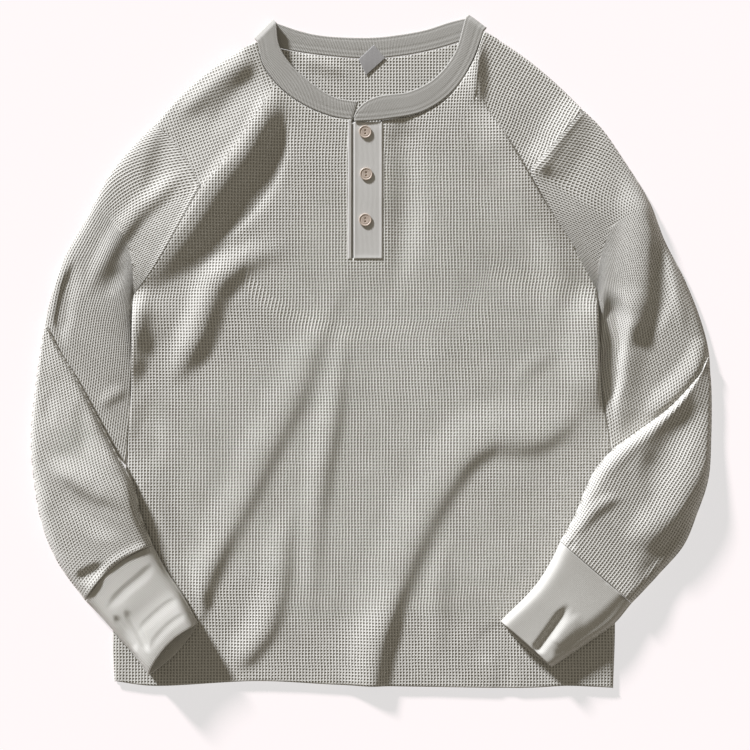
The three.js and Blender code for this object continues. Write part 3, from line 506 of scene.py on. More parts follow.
LEFT_TIP = np.array([*LEFT_HIGH[-1], 0.0])
RIGHT_TIP = np.array([*RIGHT_HIGH[-1], 0.0])


def placed(index, stretches):
    """Points of an edge made of stretches, each a number of cells and a function of the share."""
    out = np.zeros((len(index), 3))
    start = 0
    for cells, place in stretches:
        on = (index >= start) & (index <= start + cells)
        out[on] = place((index[on] - start) / cells)
        start += cells
    return out


def edge(index, parts):
    """The same, where each stretch is a list of points and its number of cells."""
    return placed(index, [(cells, lambda s, points=points: along(points, s)) for points, cells in parts])


def top_edge(index):
    """The front's top edge: shoulder, neck, the gap under the band's overlap, neck, shoulder."""
    ends = beside_band(BAND_LEFT_FRONT, [1.0, 0.0]), beside_band(BAND_RIGHT_FRONT, [0.0, 1.0])
    return placed(index, [
        (SHOULDER, lambda s: shoulder(LEFT_TIP, ends[0][0], s, LEFT_BULGE)),
        (NECK, lambda s: beside_band(BAND_LEFT_FRONT, 1 - s)),
        (MIDDLE, lambda s: mix(ends[0][1], ends[1][1], s[:, None])),
        (NECK, lambda s: beside_band(BAND_RIGHT_FRONT, 1 - s)),
        (SHOULDER, lambda s: shoulder(ends[1][0], RIGHT_TIP, s, RIGHT_BULGE)),
    ])


def back_edge(index):
    """The back's top edge: shoulder, neck, shoulder."""
    ends = beside_band(BAND_BACK, [0.0, 1.0])
    return placed(index, [
        (SHOULDER, lambda s: shoulder(LEFT_TIP, ends[0], s, LEFT_BULGE)),
        (COLUMNS - 2 * SHOULDER, lambda s: beside_band(BAND_BACK, s)),
        (SHOULDER, lambda s: shoulder(ends[1], RIGHT_TIP, s, RIGHT_BULGE)),
    ])


def side_height(index):
    s = (index - SIDE) / (LOW + HIGH)
    raised = SIDE_HEIGHT + SIDE_RISE * ease((index - BESIDE_SLEEVE) / 3) * ease((SIDE - index) / 2)
    return np.where(s <= 0, raised, tube_depth(1 - s, ARMHOLE_PUFF))


def top_height(index):
    from_end = np.minimum(index, COLUMNS - index)
    return mix(SHOULDER_HEIGHT, NECK_HEIGHT, ease(from_end / (SHOULDER + 2)))


def patch(rows, columns, top, heights):
    """A surface stretched between the hem, the two sides and a top edge."""
    left, right = edge(rows, LEFT_PARTS), edge(rows, RIGHT_PARTS)
    hem = along(HEM, columns / COLUMNS)
    top = top.copy()
    left[:, 2], right[:, 2], hem[:, 2], top[:, 2] = heights
    v = (rows / ROWS)[:, None, None]
    u = (columns / COLUMNS)[None, :, None]
    grid = hem[None] + (top - hem)[None] * v
    for side, near, corner in ((left, 1 - u, (hem[0], top[0])), (right, u, (hem[-1], top[-1]))):
        calm = side.copy()
        calm[:, 2] = smoothed(side[:, 2], 24)
        grid += (calm - mix(*corner, v[:, 0]))[:, None] * near**EDGE_PULL
        grid += (side - calm)[:, None] * near ** (8 * EDGE_PULL)
    return grid


def smoothed(values, passes):
    """Values along the first axis, evened out by repeated averages of neighbours. The ends stay."""
    out = np.array(values, float)
    for _ in range(passes):
        out[1:-1] = (out[:-2] + 2 * out[1:-1] + out[2:]) / 4
    return out


def from_edges(grid):
    """Distances over the surface from the left, right, hem and top edges."""
    across = np.linalg.norm(np.diff(grid, axis=1), axis=2)
    up = np.linalg.norm(np.diff(grid, axis=0), axis=2)
    zero_column = np.zeros((len(grid), 1))
    zero_row = np.zeros((1, grid.shape[1]))
    left = np.hstack([zero_column, np.cumsum(across, axis=1)])
    hem = np.vstack([zero_row, np.cumsum(up, axis=0)])
    return left, left[:, -1:] - left, hem, hem[-1:] - hem


def sheet_faces(rows, columns):
    """Faces between the points of an open grid."""
    at = lambda i, j: i * columns + j
    return [
        (at(i, j), at(i, j + 1), at(i + 1, j + 1), at(i + 1, j))
        for i in range(rows - 1) for j in range(columns - 1)
    ]


# Materials

def knit_material(name, lit, pit, pattern, roughness=0.95, bump=0.5, sheen=0.15):
    """A matt cloth. Pattern adds its relief from the cloth's own coordinates and returns it from 0 to 1.
    The colour runs from lit down to pit with that relief, which paints shade into the knit's pits and
    grooves.
    """
    material = bpy.data.materials.new(name)
    material.use_nodes = True
    tree = material.node_tree
    nodes, links = tree.nodes, tree.links
    shader = nodes["Principled BSDF"]
    shader.inputs["Roughness"].default_value = roughness
    shader.inputs["Sheen Weight"].default_value = sheen
    shader.inputs["Sheen Roughness"].default_value = 0.5
    shader.inputs["Specular IOR Level"].default_value = 0.2

    def math_node(kind, a, b=None, c=None):
        node = nodes.new("ShaderNodeMath")
        node.operation = kind
        for socket, value in zip(node.inputs, (a, b, c)):
            if value is None:
                continue
            if isinstance(value, (int, float)):
                socket.default_value = value
            else:
                links.new(value, socket)
        return node.outputs[0]

    def noise_node(vector, scale, detail=2.0, rough=0.5):
        node = nodes.new("ShaderNodeTexNoise")
        node.inputs["Scale"].default_value = scale
        node.inputs["Detail"].default_value = detail
        node.inputs["Roughness"].default_value = rough
        links.new(vector, node.inputs["Vector"])
        return node.outputs["Fac"]

    grain = nodes.new("ShaderNodeUVMap")
    grain.uv_map = "Grain"
    place = nodes.new("ShaderNodeTexCoord").outputs["Object"]
    split = nodes.new("ShaderNodeSeparateXYZ")
    links.new(grain.outputs["UV"], split.inputs[0])
    wobble = math_node("MULTIPLY", math_node("SUBTRACT", noise_node(place, 60), 0.5), 0.0012)
    u = math_node("ADD", split.outputs["X"], wobble)
    v = math_node("SUBTRACT", split.outputs["Y"], wobble)
    relief = pattern(math_node, u, v)
    fluff = noise_node(place, 1800, 3.0, 0.6)
    mottle = noise_node(place, 28, 3.0, 0.55)
    height = math_node("ADD", relief, math_node("MULTIPLY", fluff, 0.22))
    bump_node = nodes.new("ShaderNodeBump")
    bump_node.inputs["Strength"].default_value = bump
    bump_node.inputs["Distance"].default_value = 0.0012
    links.new(height, bump_node.inputs["Height"])
    links.new(bump_node.outputs["Normal"], shader.inputs["Normal"])
    uneven = math_node("MULTIPLY", math_node("SUBTRACT", mottle, 0.5), 0.35)
    fuzz = math_node("MULTIPLY", math_node("SUBTRACT", fluff, 0.5), 0.2)
    shade = math_node("ADD", math_node("ADD", relief, uneven), fuzz)
    # Painted shade: the relief, with a random mottle and fuzz, mixes the pit colour into the pits and
    # grooves
    colours = nodes.new("ShaderNodeMix")
    colours.data_type = "RGBA"
    colours.inputs["A"].default_value = (*pit, 1)
    colours.inputs["B"].default_value = (*lit, 1)
    links.new(shade, colours.inputs["Factor"])
    links.new(colours.outputs["Result"], shader.inputs["Base Color"])
    return material


def waffle(math_node, u, v, cell=0.00325):
    """Raised ribs along the cloth, lower ones across it, and a pit in each cell."""
    turn = 2 * math.pi / cell
    ribs = math_node("MULTIPLY_ADD", math_node("COSINE", math_node("MULTIPLY", u, turn)), 0.5, 0.5)
    bars = math_node("MULTIPLY_ADD", math_node("COSINE", math_node("MULTIPLY", v, turn)), 0.4, 0.4)
    return math_node("SMOOTH_MAX", ribs, bars, 0.2)


def fine_rib(math_node, u, v, cell=0.0016):
    turn = 2 * math.pi / cell
    return math_node("MULTIPLY_ADD", math_node("COSINE", math_node("MULTIPLY", v, turn)), 0.2, 0.6)


def plain_knit(math_node, u, v, cell=0.0013):
    turn = 2 * math.pi / cell
    return math_node("MULTIPLY_ADD", math_node("COSINE", math_node("MULTIPLY", u, turn)), 0.12, 0.6)


# Each knit's second colour is painted shade for the pits and grooves of its relief
WAFFLE = knit_material("waffle_knit", (0.735, 0.716, 0.658), (0.285, 0.266, 0.226), waffle, bump=0.9)
RIB = knit_material("rib_knit", (0.66, 0.645, 0.595), (0.44, 0.42, 0.375), fine_rib, bump=0.35)
# The neckband's rib is a darker copy of the cuffs' rib: painted shade on the band
SHADED_BAND_RIB = knit_material("neckband_rib_painted_shade", (0.5, 0.488, 0.45), (0.33, 0.315, 0.28), fine_rib, bump=0.35)
PLAIN = knit_material("placket_knit", (0.68, 0.665, 0.625), (0.46, 0.44, 0.4), plain_knit, bump=0.3)
LABEL_CLOTH = knit_material("label_cloth", (0.42, 0.41, 0.4), (0.3, 0.29, 0.28), plain_knit, bump=0.2)


def resin_material():
    material = bpy.data.materials.new("button_resin")
    material.use_nodes = True
    nodes, links = material.node_tree.nodes, material.node_tree.links
    shader = nodes["Principled BSDF"]
    shader.inputs["Roughness"].default_value = 0.35
    place = nodes.new("ShaderNodeTexCoord").outputs["Object"]
    cloud = nodes.new("ShaderNodeTexNoise")
    cloud.inputs["Scale"].default_value = 260
    cloud.inputs["Detail"].default_value = 3
    links.new(place, cloud.inputs["Vector"])
    ramp = nodes.new("ShaderNodeValToRGB")
    ramp.color_ramp.elements[0].color = (0.46, 0.37, 0.3, 1)
    ramp.color_ramp.elements[1].color = (0.62, 0.52, 0.43, 1)
    links.new(cloud.outputs["Fac"], ramp.inputs["Fac"])
    links.new(ramp.outputs["Color"], shader.inputs["Base Color"])
    return material


RESIN = resin_material()


# Front

FRONT_PER_ROW, FRONT_PER_COLUMN = 6, 5
FOLD_PASSES = 3

# How far, or to which height, each edge of the front rolls down, and within which width
OPEN_SIDE_HEIGHT, OPEN_SIDE_WIDTH = 2.3, 7
SLEEVE_SIDE_DROP, SLEEVE_SIDE_WIDTH = 1.4, 2.5
SEAM_DROP, SEAM_WIDTH = 0.4, 1.6
HEM_DROP, HEM_WIDTH = 0.9, 2.0
NECK_DROP, TOP_WIDTH = 1.0, 4
SHOULDER_FOOT, SHOULDER_BELOW = 2.4, 8

EDGE_THICKNESS = 0.5
UNDERSIDE_LOWEST = 1.85
SLOT_MARGIN, SLOT_TOP = 12, 260
NEAR_SPREADS = 4


def make_front():
    """The top face as a grid, its cloth coordinates and its distances from the four edges."""
    rows = refined(ROWS, FRONT_PER_ROW)
    columns = refined(COLUMNS, FRONT_PER_COLUMN)
    heights = side_height(rows), side_height(rows), HEM_HEIGHT, top_height(columns)
    grid = patch(rows, columns, top_edge(columns), heights)
    x, y = grid[..., 0], grid[..., 1]
    free = grid[..., 2] + folds_at(FRONT_FOLDS + SHARED_FOLDS, x, y)
    free = smoothed(smoothed(free, FOLD_PASSES).T, FOLD_PASSES).T
    free += unevenness(x, y)
    z = mix(free, np.minimum(free, UNDER_SLEEVE_HIGHEST), pressed_at(x, y))
    z = np.maximum(FRONT_LOWEST, z)
    left, right, hem, top = from_edges(np.dstack([x, y, z]))
    open_side = (rows <= BESIDE_SLEEVE)[:, None]
    beside = (rows <= SIDE)[:, None] & ~open_side
    side_foot = np.where(open_side, OPEN_SIDE_HEIGHT, np.where(beside, z - SLEEVE_SIDE_DROP, z - SEAM_DROP))
    side_width = np.where(open_side, OPEN_SIDE_WIDTH, np.where(beside, SLEEVE_SIDE_WIDTH, SEAM_WIDTH))
    top_foot = np.where(top_height(columns)[None] < SHOULDER_BELOW, SHOULDER_FOOT, z - NECK_DROP)
    for distance, foot, width in [
        (left, side_foot, side_width), (right, side_foot, side_width),
        (hem, z - HEM_DROP, HEM_WIDTH), (top, top_foot, TOP_WIDTH),
    ]:
        z = foot + (z - foot) * roll(distance, width)
    grid = np.dstack([x, y, z])
    lengths = np.linalg.norm(np.diff(grid, axis=1), axis=2)
    flat_lengths = np.linalg.norm(np.diff(grid[..., :2], axis=1), axis=2)
    stretch = np.hstack([np.zeros((len(grid), 1)), np.cumsum(lengths - flat_lengths, axis=1)])
    return grid, np.dstack([x + stretch, y]), (left, right, hem, top)


FRONT, FRONT_GRAIN, FRONT_FROM = make_front()


def front_at(x, y, spread=2.5):
    """The front's top face near places, smoothed over a few millimetres: its height and its grain."""
    flat = np.dstack([FRONT, FRONT_GRAIN]).reshape(-1, 5)
    out = np.zeros(x.shape + (3,))
    for k in np.ndindex(x.shape):
        reach = NEAR_SPREADS * spread
        near = flat[(abs(flat[:, 0] - x[k]) < reach) & (abs(flat[:, 1] - y[k]) < reach)]
        away = near[:, :2] - (x[k], y[k])
        weight = np.exp(-(away**2).sum(1) / (2 * spread**2))[:, None] + 1e-9
        centre = (weight * near).sum(0) / weight.sum()
        out[k] = centre[2], x[k] + centre[3] - centre[0], y[k] + centre[4] - centre[1]
    return out


def build_front():
    """The top face, with the placket's slot cut out, and a lower face a cloth's thickness under it."""
    shape = bmesh.new()
    carried = shape.verts.layers.float_vector.new("carried")
    left, right, hem, top = FRONT_FROM
    thin = np.minimum.reduce([
        roll(left, OPEN_SIDE_WIDTH), roll(right, OPEN_SIDE_WIDTH),
        roll(hem, HEM_WIDTH), roll(top, TOP_WIDTH),
    ])
    thickness = EDGE_THICKNESS + (CLOTH - EDGE_THICKNESS) * thin
    for point, grain, thick in zip(FRONT.reshape(-1, 3), FRONT_GRAIN.reshape(-1, 2), thickness.ravel()):
        shape.verts.new(point)[carried] = (*grain, thick)
    shape.verts.ensure_lookup_table()
    for corners in sheet_faces(*FRONT.shape[:2]):
        shape.faces.new([shape.verts[k] for k in corners])
    for axis, value in ((0, SLOT_LEFT), (0, SLOT_RIGHT), (1, SLOT_BOTTOM)):
        near = [f for f in shape.faces if in_slot(f, SLOT_MARGIN)]
        edges, corners = {e for f in near for e in f.edges}, {v for f in near for v in f.verts}
        parts = near + list(edges) + list(corners)
        normal = Vector((1 - axis, axis, 0))
        bmesh.ops.bisect_plane(shape, geom=parts, plane_co=normal * value, plane_no=normal, dist=1e-4)
    bmesh.ops.delete(shape, geom=[f for f in shape.faces if in_slot(f, 0)], context="FACES")
    shape.normal_update()
    shape.verts.index_update()
    points = np.array([v.co for v in shape.verts])
    normals = np.array([v.normal for v in shape.verts])
    extra = np.array([v[carried] for v in shape.verts])
    count = len(points)
    faces = [[v.index for v in f.verts] for f in shape.faces]
    rims = [[v.index for v in e.verts] for e in shape.edges if len(e.link_faces) == 1]
    shape.free()
    lower = points - normals * np.sign(normals[:, 2:]) * extra[:, 2:]
    lower[:, 2] = np.maximum(lower[:, 2], UNDERSIDE_LOWEST)
    under = [[k + count for k in reversed(face)] for face in faces]
    around = [[a, b, b + count, a + count] for a, b in rims]
    lip, lip_grain = lip_loft()
    lip_faces = loft_faces(*lip.shape[:2], False, 2 * count)
    all_points = np.vstack([points, lower, lip.reshape(-1, 3)])
    all_grain = np.vstack([extra[:, :2]] * 2 + [lip_grain.reshape(-1, 2)])
    all_faces = faces + under + around + lip_faces
    made = piece("front_cloth", all_points, all_faces, all_grain, WAFFLE, ["front"])
    turn_grain(made.data, LEFT_TURN, 1, LEFT_TURN_ANGLE, 2 * len(faces))
    turn_grain(made.data, RIGHT_TURN, -1, RIGHT_TURN_ANGLE, 2 * len(faces))
    return made


def lip_loft():
    """The rounded edge of the front's fold, rising from the panel and dropping steeply on its right."""
    share = np.linspace(0, 1, LIP_STATIONS)
    line, ahead = along(RIGHT_LIP, share), heading(RIGHT_LIP, share)
    right = np.c_[-ahead[:, 1], ahead[:, 0]]
    offset = np.array(LIP_OFFSETS)
    height = LIP_HEIGHT * ease(share / LIP_HEAD) * ease((1 - share) / LIP_TAIL)
    rise = ease((offset - LIP_OFFSETS[0]) / LIP_SLOPE) * roll(LIP_OFFSETS[-1] - offset, LIP_ROUND)
    x = line[:, :1] + right[:, :1] * offset
    y = line[:, 1:2] + right[:, 1:] * offset
    ground = front_at(x, y)
    top = np.dstack([x, y, ground[..., 0] - LIP_SUNK + (height[:, None] + LIP_SUNK) * rise])
    bottom = np.dstack([x, y, ground[..., 0] - LIP_THICKNESS])
    grain = ground[..., 1:]
    return np.concatenate([top, bottom[:, ::-1]], 1), np.concatenate([grain, grain[:, ::-1]], 1)


def turn_grain(mesh, line, side, angle, count):
    """Turns the grain of the faces that lie on one side of a line, within its height."""
    points = along(line, np.linspace(0, 1, 60))
    centres = np.empty(3 * len(mesh.polygons))
    mesh.polygons.foreach_get("center", centres)
    centres = (centres.reshape(-1, 3) - SHIFT) * 1000
    x_line = np.interp(centres[:, 1], points[::-1, 1], points[::-1, 0])
    beside = (side * (x_line - centres[:, 0]) > 0) & (centres[:, 1] > points[-1, 1])
    chosen = beside & (np.arange(len(centres)) < count)
    starts, totals = np.empty(len(centres), int), np.empty(len(centres), int)
    mesh.polygons.foreach_get("loop_start", starts)
    mesh.polygons.foreach_get("loop_total", totals)
    loops = np.concatenate([np.arange(a, a + n) for a, n in zip(starts[chosen], totals[chosen])])
    uv = np.empty(2 * len(mesh.loops))
    mesh.uv_layers["Grain"].data.foreach_get("uv", uv)
    uv = uv.reshape(-1, 2)
    c, d = math.cos(math.radians(angle)), math.sin(math.radians(angle))
    uv[loops] = uv[loops] @ np.array([[c, -d], [d, c]])
    mesh.uv_layers["Grain"].data.foreach_set("uv", uv.ravel())


def in_slot(face, margin):
    x, y, _ = face.calc_center_median()
    return SLOT_LEFT - margin < x < SLOT_RIGHT + margin and SLOT_BOTTOM - margin < y < SLOT_TOP


front_cloth = build_front()


# Back

BACK_PER_CELL = 4
BACK_ROLL = 2
BACK_HALF = CLOTH / 2


def build_back():
    """A sheet that lies flat, and reaches a little under both sleeves."""
    rows, columns = refined(ROWS, BACK_PER_CELL), refined(COLUMNS, BACK_PER_CELL)
    grid = patch(rows, columns, back_edge(columns), (0, 0, 0, 0))
    beside_sleeve = ease((rows - BESIDE_SLEEVE) / 2) * ease((SIDE + 1.5 - rows) / 1.5)
    grid[:, 0, 0] -= BACK_REACH * beside_sleeve
    grid[:, -1, 0] += BACK_REACH * beside_sleeve
    left, right, hem, top = from_edges(grid)
    edge_roll = np.minimum.reduce([roll(distance, BACK_ROLL) for distance in (left, right, hem, top)])
    raised = folds_at(BACK_FOLDS, grid[..., 0], grid[..., 1]) * edge_roll
    upper = np.dstack([grid[..., :2], BACK_HALF + BACK_HALF * edge_roll + raised])
    lower = np.dstack([grid[..., :2], BACK_HALF - BACK_HALF * edge_roll])
    count = grid.shape[0] * grid.shape[1]
    faces = sheet_faces(*grid.shape[:2])
    under = [tuple(k + count for k in reversed(face)) for face in faces]
    index = np.arange(count).reshape(grid.shape[:2])
    loop = np.r_[index[0, :-1], index[:-1, -1], index[-1, :0:-1], index[:0:-1, 0]]
    around = [(a, b, b + count, a + count) for a, b in zip(loop.tolist(), np.roll(loop, -1).tolist())]
    points = np.vstack([upper.reshape(-1, 3), lower.reshape(-1, 3)])
    grain = np.vstack([grid[..., :2].reshape(-1, 2)] * 2)
    return piece("back_cloth", points, faces + under + around, grain, WAFFLE, ["back"])


back_cloth = build_back()


# Sleeves and cuffs

# Steps along and cells across, the bulge of a rim at a seam and at an open end, and a side's round
UPPER_STEPS, FOREARM_STEPS, SLEEVE_CELLS = 110, 120, 64
CUFF_STEPS, CUFF_CELLS, CUFF_START = 64, 60, 0.004
SEAM_RIM, OPEN_RIM = 0.1, 0.9
OUTSIDE_BULGE, INSIDE_BULGE = 1.5, 0.8
SIDE_ANGLES = [40, 65, 90, 115, 140]
EDGE_CALM = 2.5
SHARED_REACH = 0.12


def armhole_bend(parts, s):
    """How far the armhole runs aside from the straight line between its ends, at share s from its top."""
    flat = edge((LOW + HIGH) * (1 - s.ravel()), parts).reshape(*s.shape, 3)
    top, bottom = edge(np.array([LOW + HIGH, 0.0]), parts)
    return flat - mix(top, bottom, s[..., None])


def tube_rings(tube, steps, cells, cloth, folds, armhole=None, shift=0.0):
    """Outside and inside rings, each over the top to the inner edge and back below, and the grain."""
    t = np.linspace(shift, 1, steps + 1)
    s = 0.5 - 0.5 * np.cos(np.pi * np.arange(cells + 1) / cells)
    a = along(tube.outer, t)
    b = along(tube.inner, t**UNDERARM_LAG if armhole else t)
    width = np.linalg.norm(b - a, axis=1)[:, None]
    across = (b - a) / width
    forward = heading(tube.outer, t) + heading(tube.inner, t)
    forward /= np.linalg.norm(forward, axis=1)[:, None]
    row = {field: row_at(tube.rows, t, field)[:, None] for field in Row._fields[1:]}

    inner_power = INNER_POWER if armhole else OUTER_POWER

    def place(share, ahead):
        point = mix(a[:, None], b[:, None], share[..., None])
        point = point + forward[:, None] * (4 * share * (1 - share) * ahead)[..., None]
        if armhole:
            reach = mix(FADE_SHOULDER, FADE_UNDERARM, share)
            point = point + armhole_bend(armhole, share) * np.clip(1 - t[:, None] / reach, 0, 1)[..., None]
        return point

    def ring(inset, less, bulge):
        share = mix((inset + bulge) / width, 1 - (inset + bulge) / width, s[None])
        low = mix(row["low_outer"], row["low_inner"], share)
        top, bottom = place(share, row["ahead"]), place(share, row["ahead_low"])
        x, y = top[..., 0], top[..., 1]
        inner = np.minimum(1, EDGE_CALM * np.sin(np.pi * np.clip(share, 0, 1)))
        rise = folds_at(folds, x, y) * inner + unevenness(x, y) * inner
        if armhole:
            rise += folds_at(SHARED_FOLDS, x, y) * mix(1, inner, ease(t / SHARED_REACH)[:, None])
        depth = tube_depth(np.broadcast_to(s, share.shape), row["depth"], inner_power)
        top[..., 2] = low + np.maximum(TUBE_LEAST, depth + rise) - less
        bottom[..., 2] = low + less
        rounds = []
        for i, away in ((-1, across), (0, -across)):
            middle, half = (top[:, i] + bottom[:, i]) / 2, (top[:, i] - bottom[:, i]) / 2
            angles = np.radians(SIDE_ANGLES if i else SIDE_ANGLES[::-1])
            turned = [middle + half * math.cos(g) + away * bulge * math.sin(g) for g in angles]
            rounds.append(np.stack(turned, 1))
        return np.concatenate([top, rounds[0], bottom[:, ::-1], rounds[1]], 1)

    outside, inside = ring(0.0, 0.0, OUTSIDE_BULGE), ring(cloth, cloth, INSIDE_BULGE)
    top = outside[:, : cells + 1]
    length = np.linalg.norm(np.diff(along(tube.outer, t), axis=0), axis=1).sum()
    across_top = np.linalg.norm(np.diff(top, axis=1), axis=2)
    u = np.hstack([np.zeros((steps + 1, 1)), np.cumsum(across_top, axis=1)])
    u = u - u[:, -1:] / 2
    turns = len(SIDE_ANGLES)
    u = np.hstack([u, np.repeat(u[:, -1:], turns, 1), u[:, ::-1], np.repeat(u[:, :1], turns, 1)])
    v = np.broadcast_to((t * length)[:, None], u.shape)
    return outside, inside, np.dstack([u, v])


def tube_loft(rings, start_bulge, end_bulge):
    """A tube's rings in one round: outside, round the far rim, inside, round the near rim."""
    outside, inside, grain = rings
    far = round_rim(outside[-1], inside[-1], outside[-2], end_bulge)
    near = round_rim(inside[0], outside[0], inside[1], start_bulge)
    loops = np.concatenate([outside, far, inside[::-1], near])
    coordinates = np.concatenate([grain, [grain[-1]] * 3, grain[::-1], [grain[0]] * 3])
    return loops, coordinates


def lofts_piece(name, lofts, joined, material, replaced):
    """One piece from several runs of closed loops, each with its grain."""
    points, grain, faces, start = [], [], [], 0
    for loops, coordinates in lofts:
        faces += loft_faces(*loops.shape[:2], joined, start)
        start += loops.shape[0] * loops.shape[1]
        points.append(loops.reshape(-1, 3))
        grain.append(coordinates.reshape(-1, 2))
    return piece(name, np.vstack(points), faces, np.vstack(grain), material, [replaced])


def build_sleeve(name, upper, forearm, upper_folds, forearm_folds, armhole):
    upper_rings = tube_rings(upper, UPPER_STEPS, SLEEVE_CELLS, CLOTH, upper_folds, armhole)
    forearm_rings = tube_rings(forearm, FOREARM_STEPS, SLEEVE_CELLS, CLOTH, forearm_folds)
    lofts = [tube_loft(upper_rings, SEAM_RIM, OPEN_RIM), tube_loft(forearm_rings, OPEN_RIM, SEAM_RIM)]
    return lofts_piece(f"{name}_cloth", lofts, True, WAFFLE, name)


def build_cuff(name, tube, folds):
    rings = tube_rings(tube, CUFF_STEPS, CUFF_CELLS, CUFF_CLOTH, folds, shift=CUFF_START)
    return lofts_piece(f"{name}_cloth", [tube_loft(rings, SEAM_RIM, OPEN_RIM)], True, RIB, name)


sleeve_left = build_sleeve(
    "sleeve_left", LEFT_UPPER, LEFT_FOREARM, LEFT_UPPER_FOLDS, LEFT_FOREARM_FOLDS, LEFT_PARTS[1:])
sleeve_right = build_sleeve(
    "sleeve_right", RIGHT_UPPER, RIGHT_FOREARM, RIGHT_UPPER_FOLDS, RIGHT_FOREARM_FOLDS, RIGHT_PARTS[1:])
cuff_left = build_cuff("cuff_left", LEFT_CUFF, LEFT_CUFF_FOLDS)
cuff_right = build_cuff("cuff_right", RIGHT_CUFF, RIGHT_CUFF_FOLDS)


# Strips: closed sections from a row of middle points, their normals and a half thickness

def strip_loft(middles, normals, half, grain):
    """Middles, normals: rows by columns. Half is the half thickness at each column."""
    top = middles + normals * half[..., None]
    bottom = middles - normals * half[..., None]
    return np.concatenate([top, bottom[:, ::-1]], 1), np.concatenate([grain, grain[:, ::-1]], 1)


BAND_RUN = [
    (BAND_LEFT_FRONT, 70), (BAND_LEFT_FOLD, 14), (BAND_BACK, 80),
    (BAND_RIGHT_FOLD, 14), (BAND_RIGHT_FRONT, 80),
]
BAND_ACROSS = 22
THIN_EDGE = 0.15
BAND_ROUND, BAND_END_ROUND, BAND_END_SHARE = 1.6, 2.5, 0.3

# The band's stitch rows: places from its sewn edge, one from its free edge, their depth and width
STITCH_FROM_SEAM, STITCH_FROM_FREE = (3.2, 8.0), 2.6
STITCH_DEPTH, STITCH_WIDTH = 0.28, 0.8


def build_neckband():
    free, sewn = [], []
    for table, cells in BAND_RUN:
        a, b = band_edges(table, np.linspace(0, 1, cells + 1))
        free.append(a if not free else a[1:])
        sewn.append(b if not sewn else b[1:])
    free, sewn = np.vstack(free), np.vstack(sewn)
    share = 0.5 - 0.5 * np.cos(np.pi * np.arange(BAND_ACROSS + 1) / BAND_ACROSS)
    middles = mix(free[:, None], sewn[:, None], share[None, :, None])
    core = middles[:, BAND_ACROSS // 2]
    ahead = np.gradient(core, axis=0)
    normals = np.cross(ahead, sewn - free)
    normals /= np.linalg.norm(normals, axis=1)[:, None]
    width = np.linalg.norm(sewn - free, axis=1)[:, None]
    place = share[None] * width
    half = THIN_EDGE + (BAND_CLOTH / 2 - THIN_EDGE) * roll(np.minimum(place, width - place), BAND_ROUND)
    for at in (*STITCH_FROM_SEAM, width - STITCH_FROM_FREE):
        half = half - STITCH_DEPTH * np.exp(-(((width - place) - at) / STITCH_WIDTH) ** 2)
    ends = np.minimum(np.arange(len(core)), np.arange(len(core))[::-1])[:, None]
    half = half * (BAND_END_SHARE + (1 - BAND_END_SHARE) * roll(ends, BAND_END_ROUND))
    run = np.r_[0, np.cumsum(np.linalg.norm(np.diff(core, axis=0), axis=1))]
    grain = np.dstack([np.broadcast_to(place, half.shape), np.broadcast_to(run[:, None], half.shape)])
    loft = strip_loft(middles, np.broadcast_to(normals[:, None], middles.shape), half, grain)
    return lofts_piece("neckband_cloth", [loft], False, SHADED_BAND_RIB, "neckband")


neckband = build_neckband()


# The strips' stations, places of extra ones from an edge, the rounding of their edges and their beads
STRIP_ACROSS, STRIP_ALONG = 23, 70
STRIP_EXTRA = (0.4, 1)
STRIP_ROUND = 1.2
BEAD_PLACE, BEAD_WIDTH = 1.3, 0.9
GROUND_SPREAD, GROUND_TOP = 3, 237.0


def stations(start, end, count):
    extra = np.array(STRIP_EXTRA)
    return np.unique(np.r_[np.linspace(start, end, count), start + extra, end - extra])


def placket_loft(left, right, bottom, top, lift, thickness, beads=(0, 0, 0)):
    """A strip up the front. Lift is the height of its lower face over the front, beads raise its edges."""
    x, y = np.meshgrid(stations(left, right, STRIP_ACROSS), stations(bottom, top, STRIP_ALONG))
    ground = front_at(x, np.minimum(y, GROUND_TOP), GROUND_SPREAD)[..., 0]
    from_side = np.minimum(x - left, right - x)
    from_edge = np.minimum(from_side, np.minimum(y - bottom, top - y))
    half = THIN_EDGE + (thickness / 2 - THIN_EDGE) * roll(from_edge, STRIP_ROUND)
    raised = np.zeros(x.shape)
    for bead, distance in zip(beads, (x - left, right - x, y - bottom)):
        raised = np.maximum(raised, bead * np.exp(-((distance - BEAD_PLACE) / BEAD_WIDTH) ** 2))
    middles = np.dstack([x, y, ground + lift + thickness / 2 + raised / 2])
    normals = np.broadcast_to(np.array([0.0, 0.0, 1.0]), middles.shape)
    grain = np.dstack([x, y])
    return strip_loft(middles, normals, half + raised / 2, grain)


placket_over = lofts_piece(
    "placket_over_cloth", [placket_loft(*OVER_STRIP)], False, PLAIN, "placket_over")
placket_under = lofts_piece(
    "placket_under_cloth", [placket_loft(*UNDER_STRIP), placket_loft(*PIPING)],
    False, PLAIN, "placket_under")


# Buttons

BUTTON_SIDES = 96

# A button's section from its underside round the rim and over the raised ring: radius and height
BUTTON_PROFILE = [
    (4.8, 0.0), (5.9, 0.1), (6.5, 0.4), (6.7, 0.8), (6.65, 1.15), (6.45, 1.4), (6.1, 1.55), (5.7, 1.5),
    (5.3, 1.3), (4.9, 1.05), (4.6, 1.0), (4.3, 1.1), (4.0, 1.22), (3.7, 1.2),
]
DISH_RADIUS, DISH_LEAST, DISH_RINGS = 3.5, 0.15, 26
DISH_HEIGHT, DISH_SLOPE = 1.15, 0.05
HOLE_PLACE, HOLE_RADIUS, HOLE_SOFT, HOLE_DEPTH = 1.7, 1.1, 0.3, 0.9
BUTTON_LIFT = 1.35


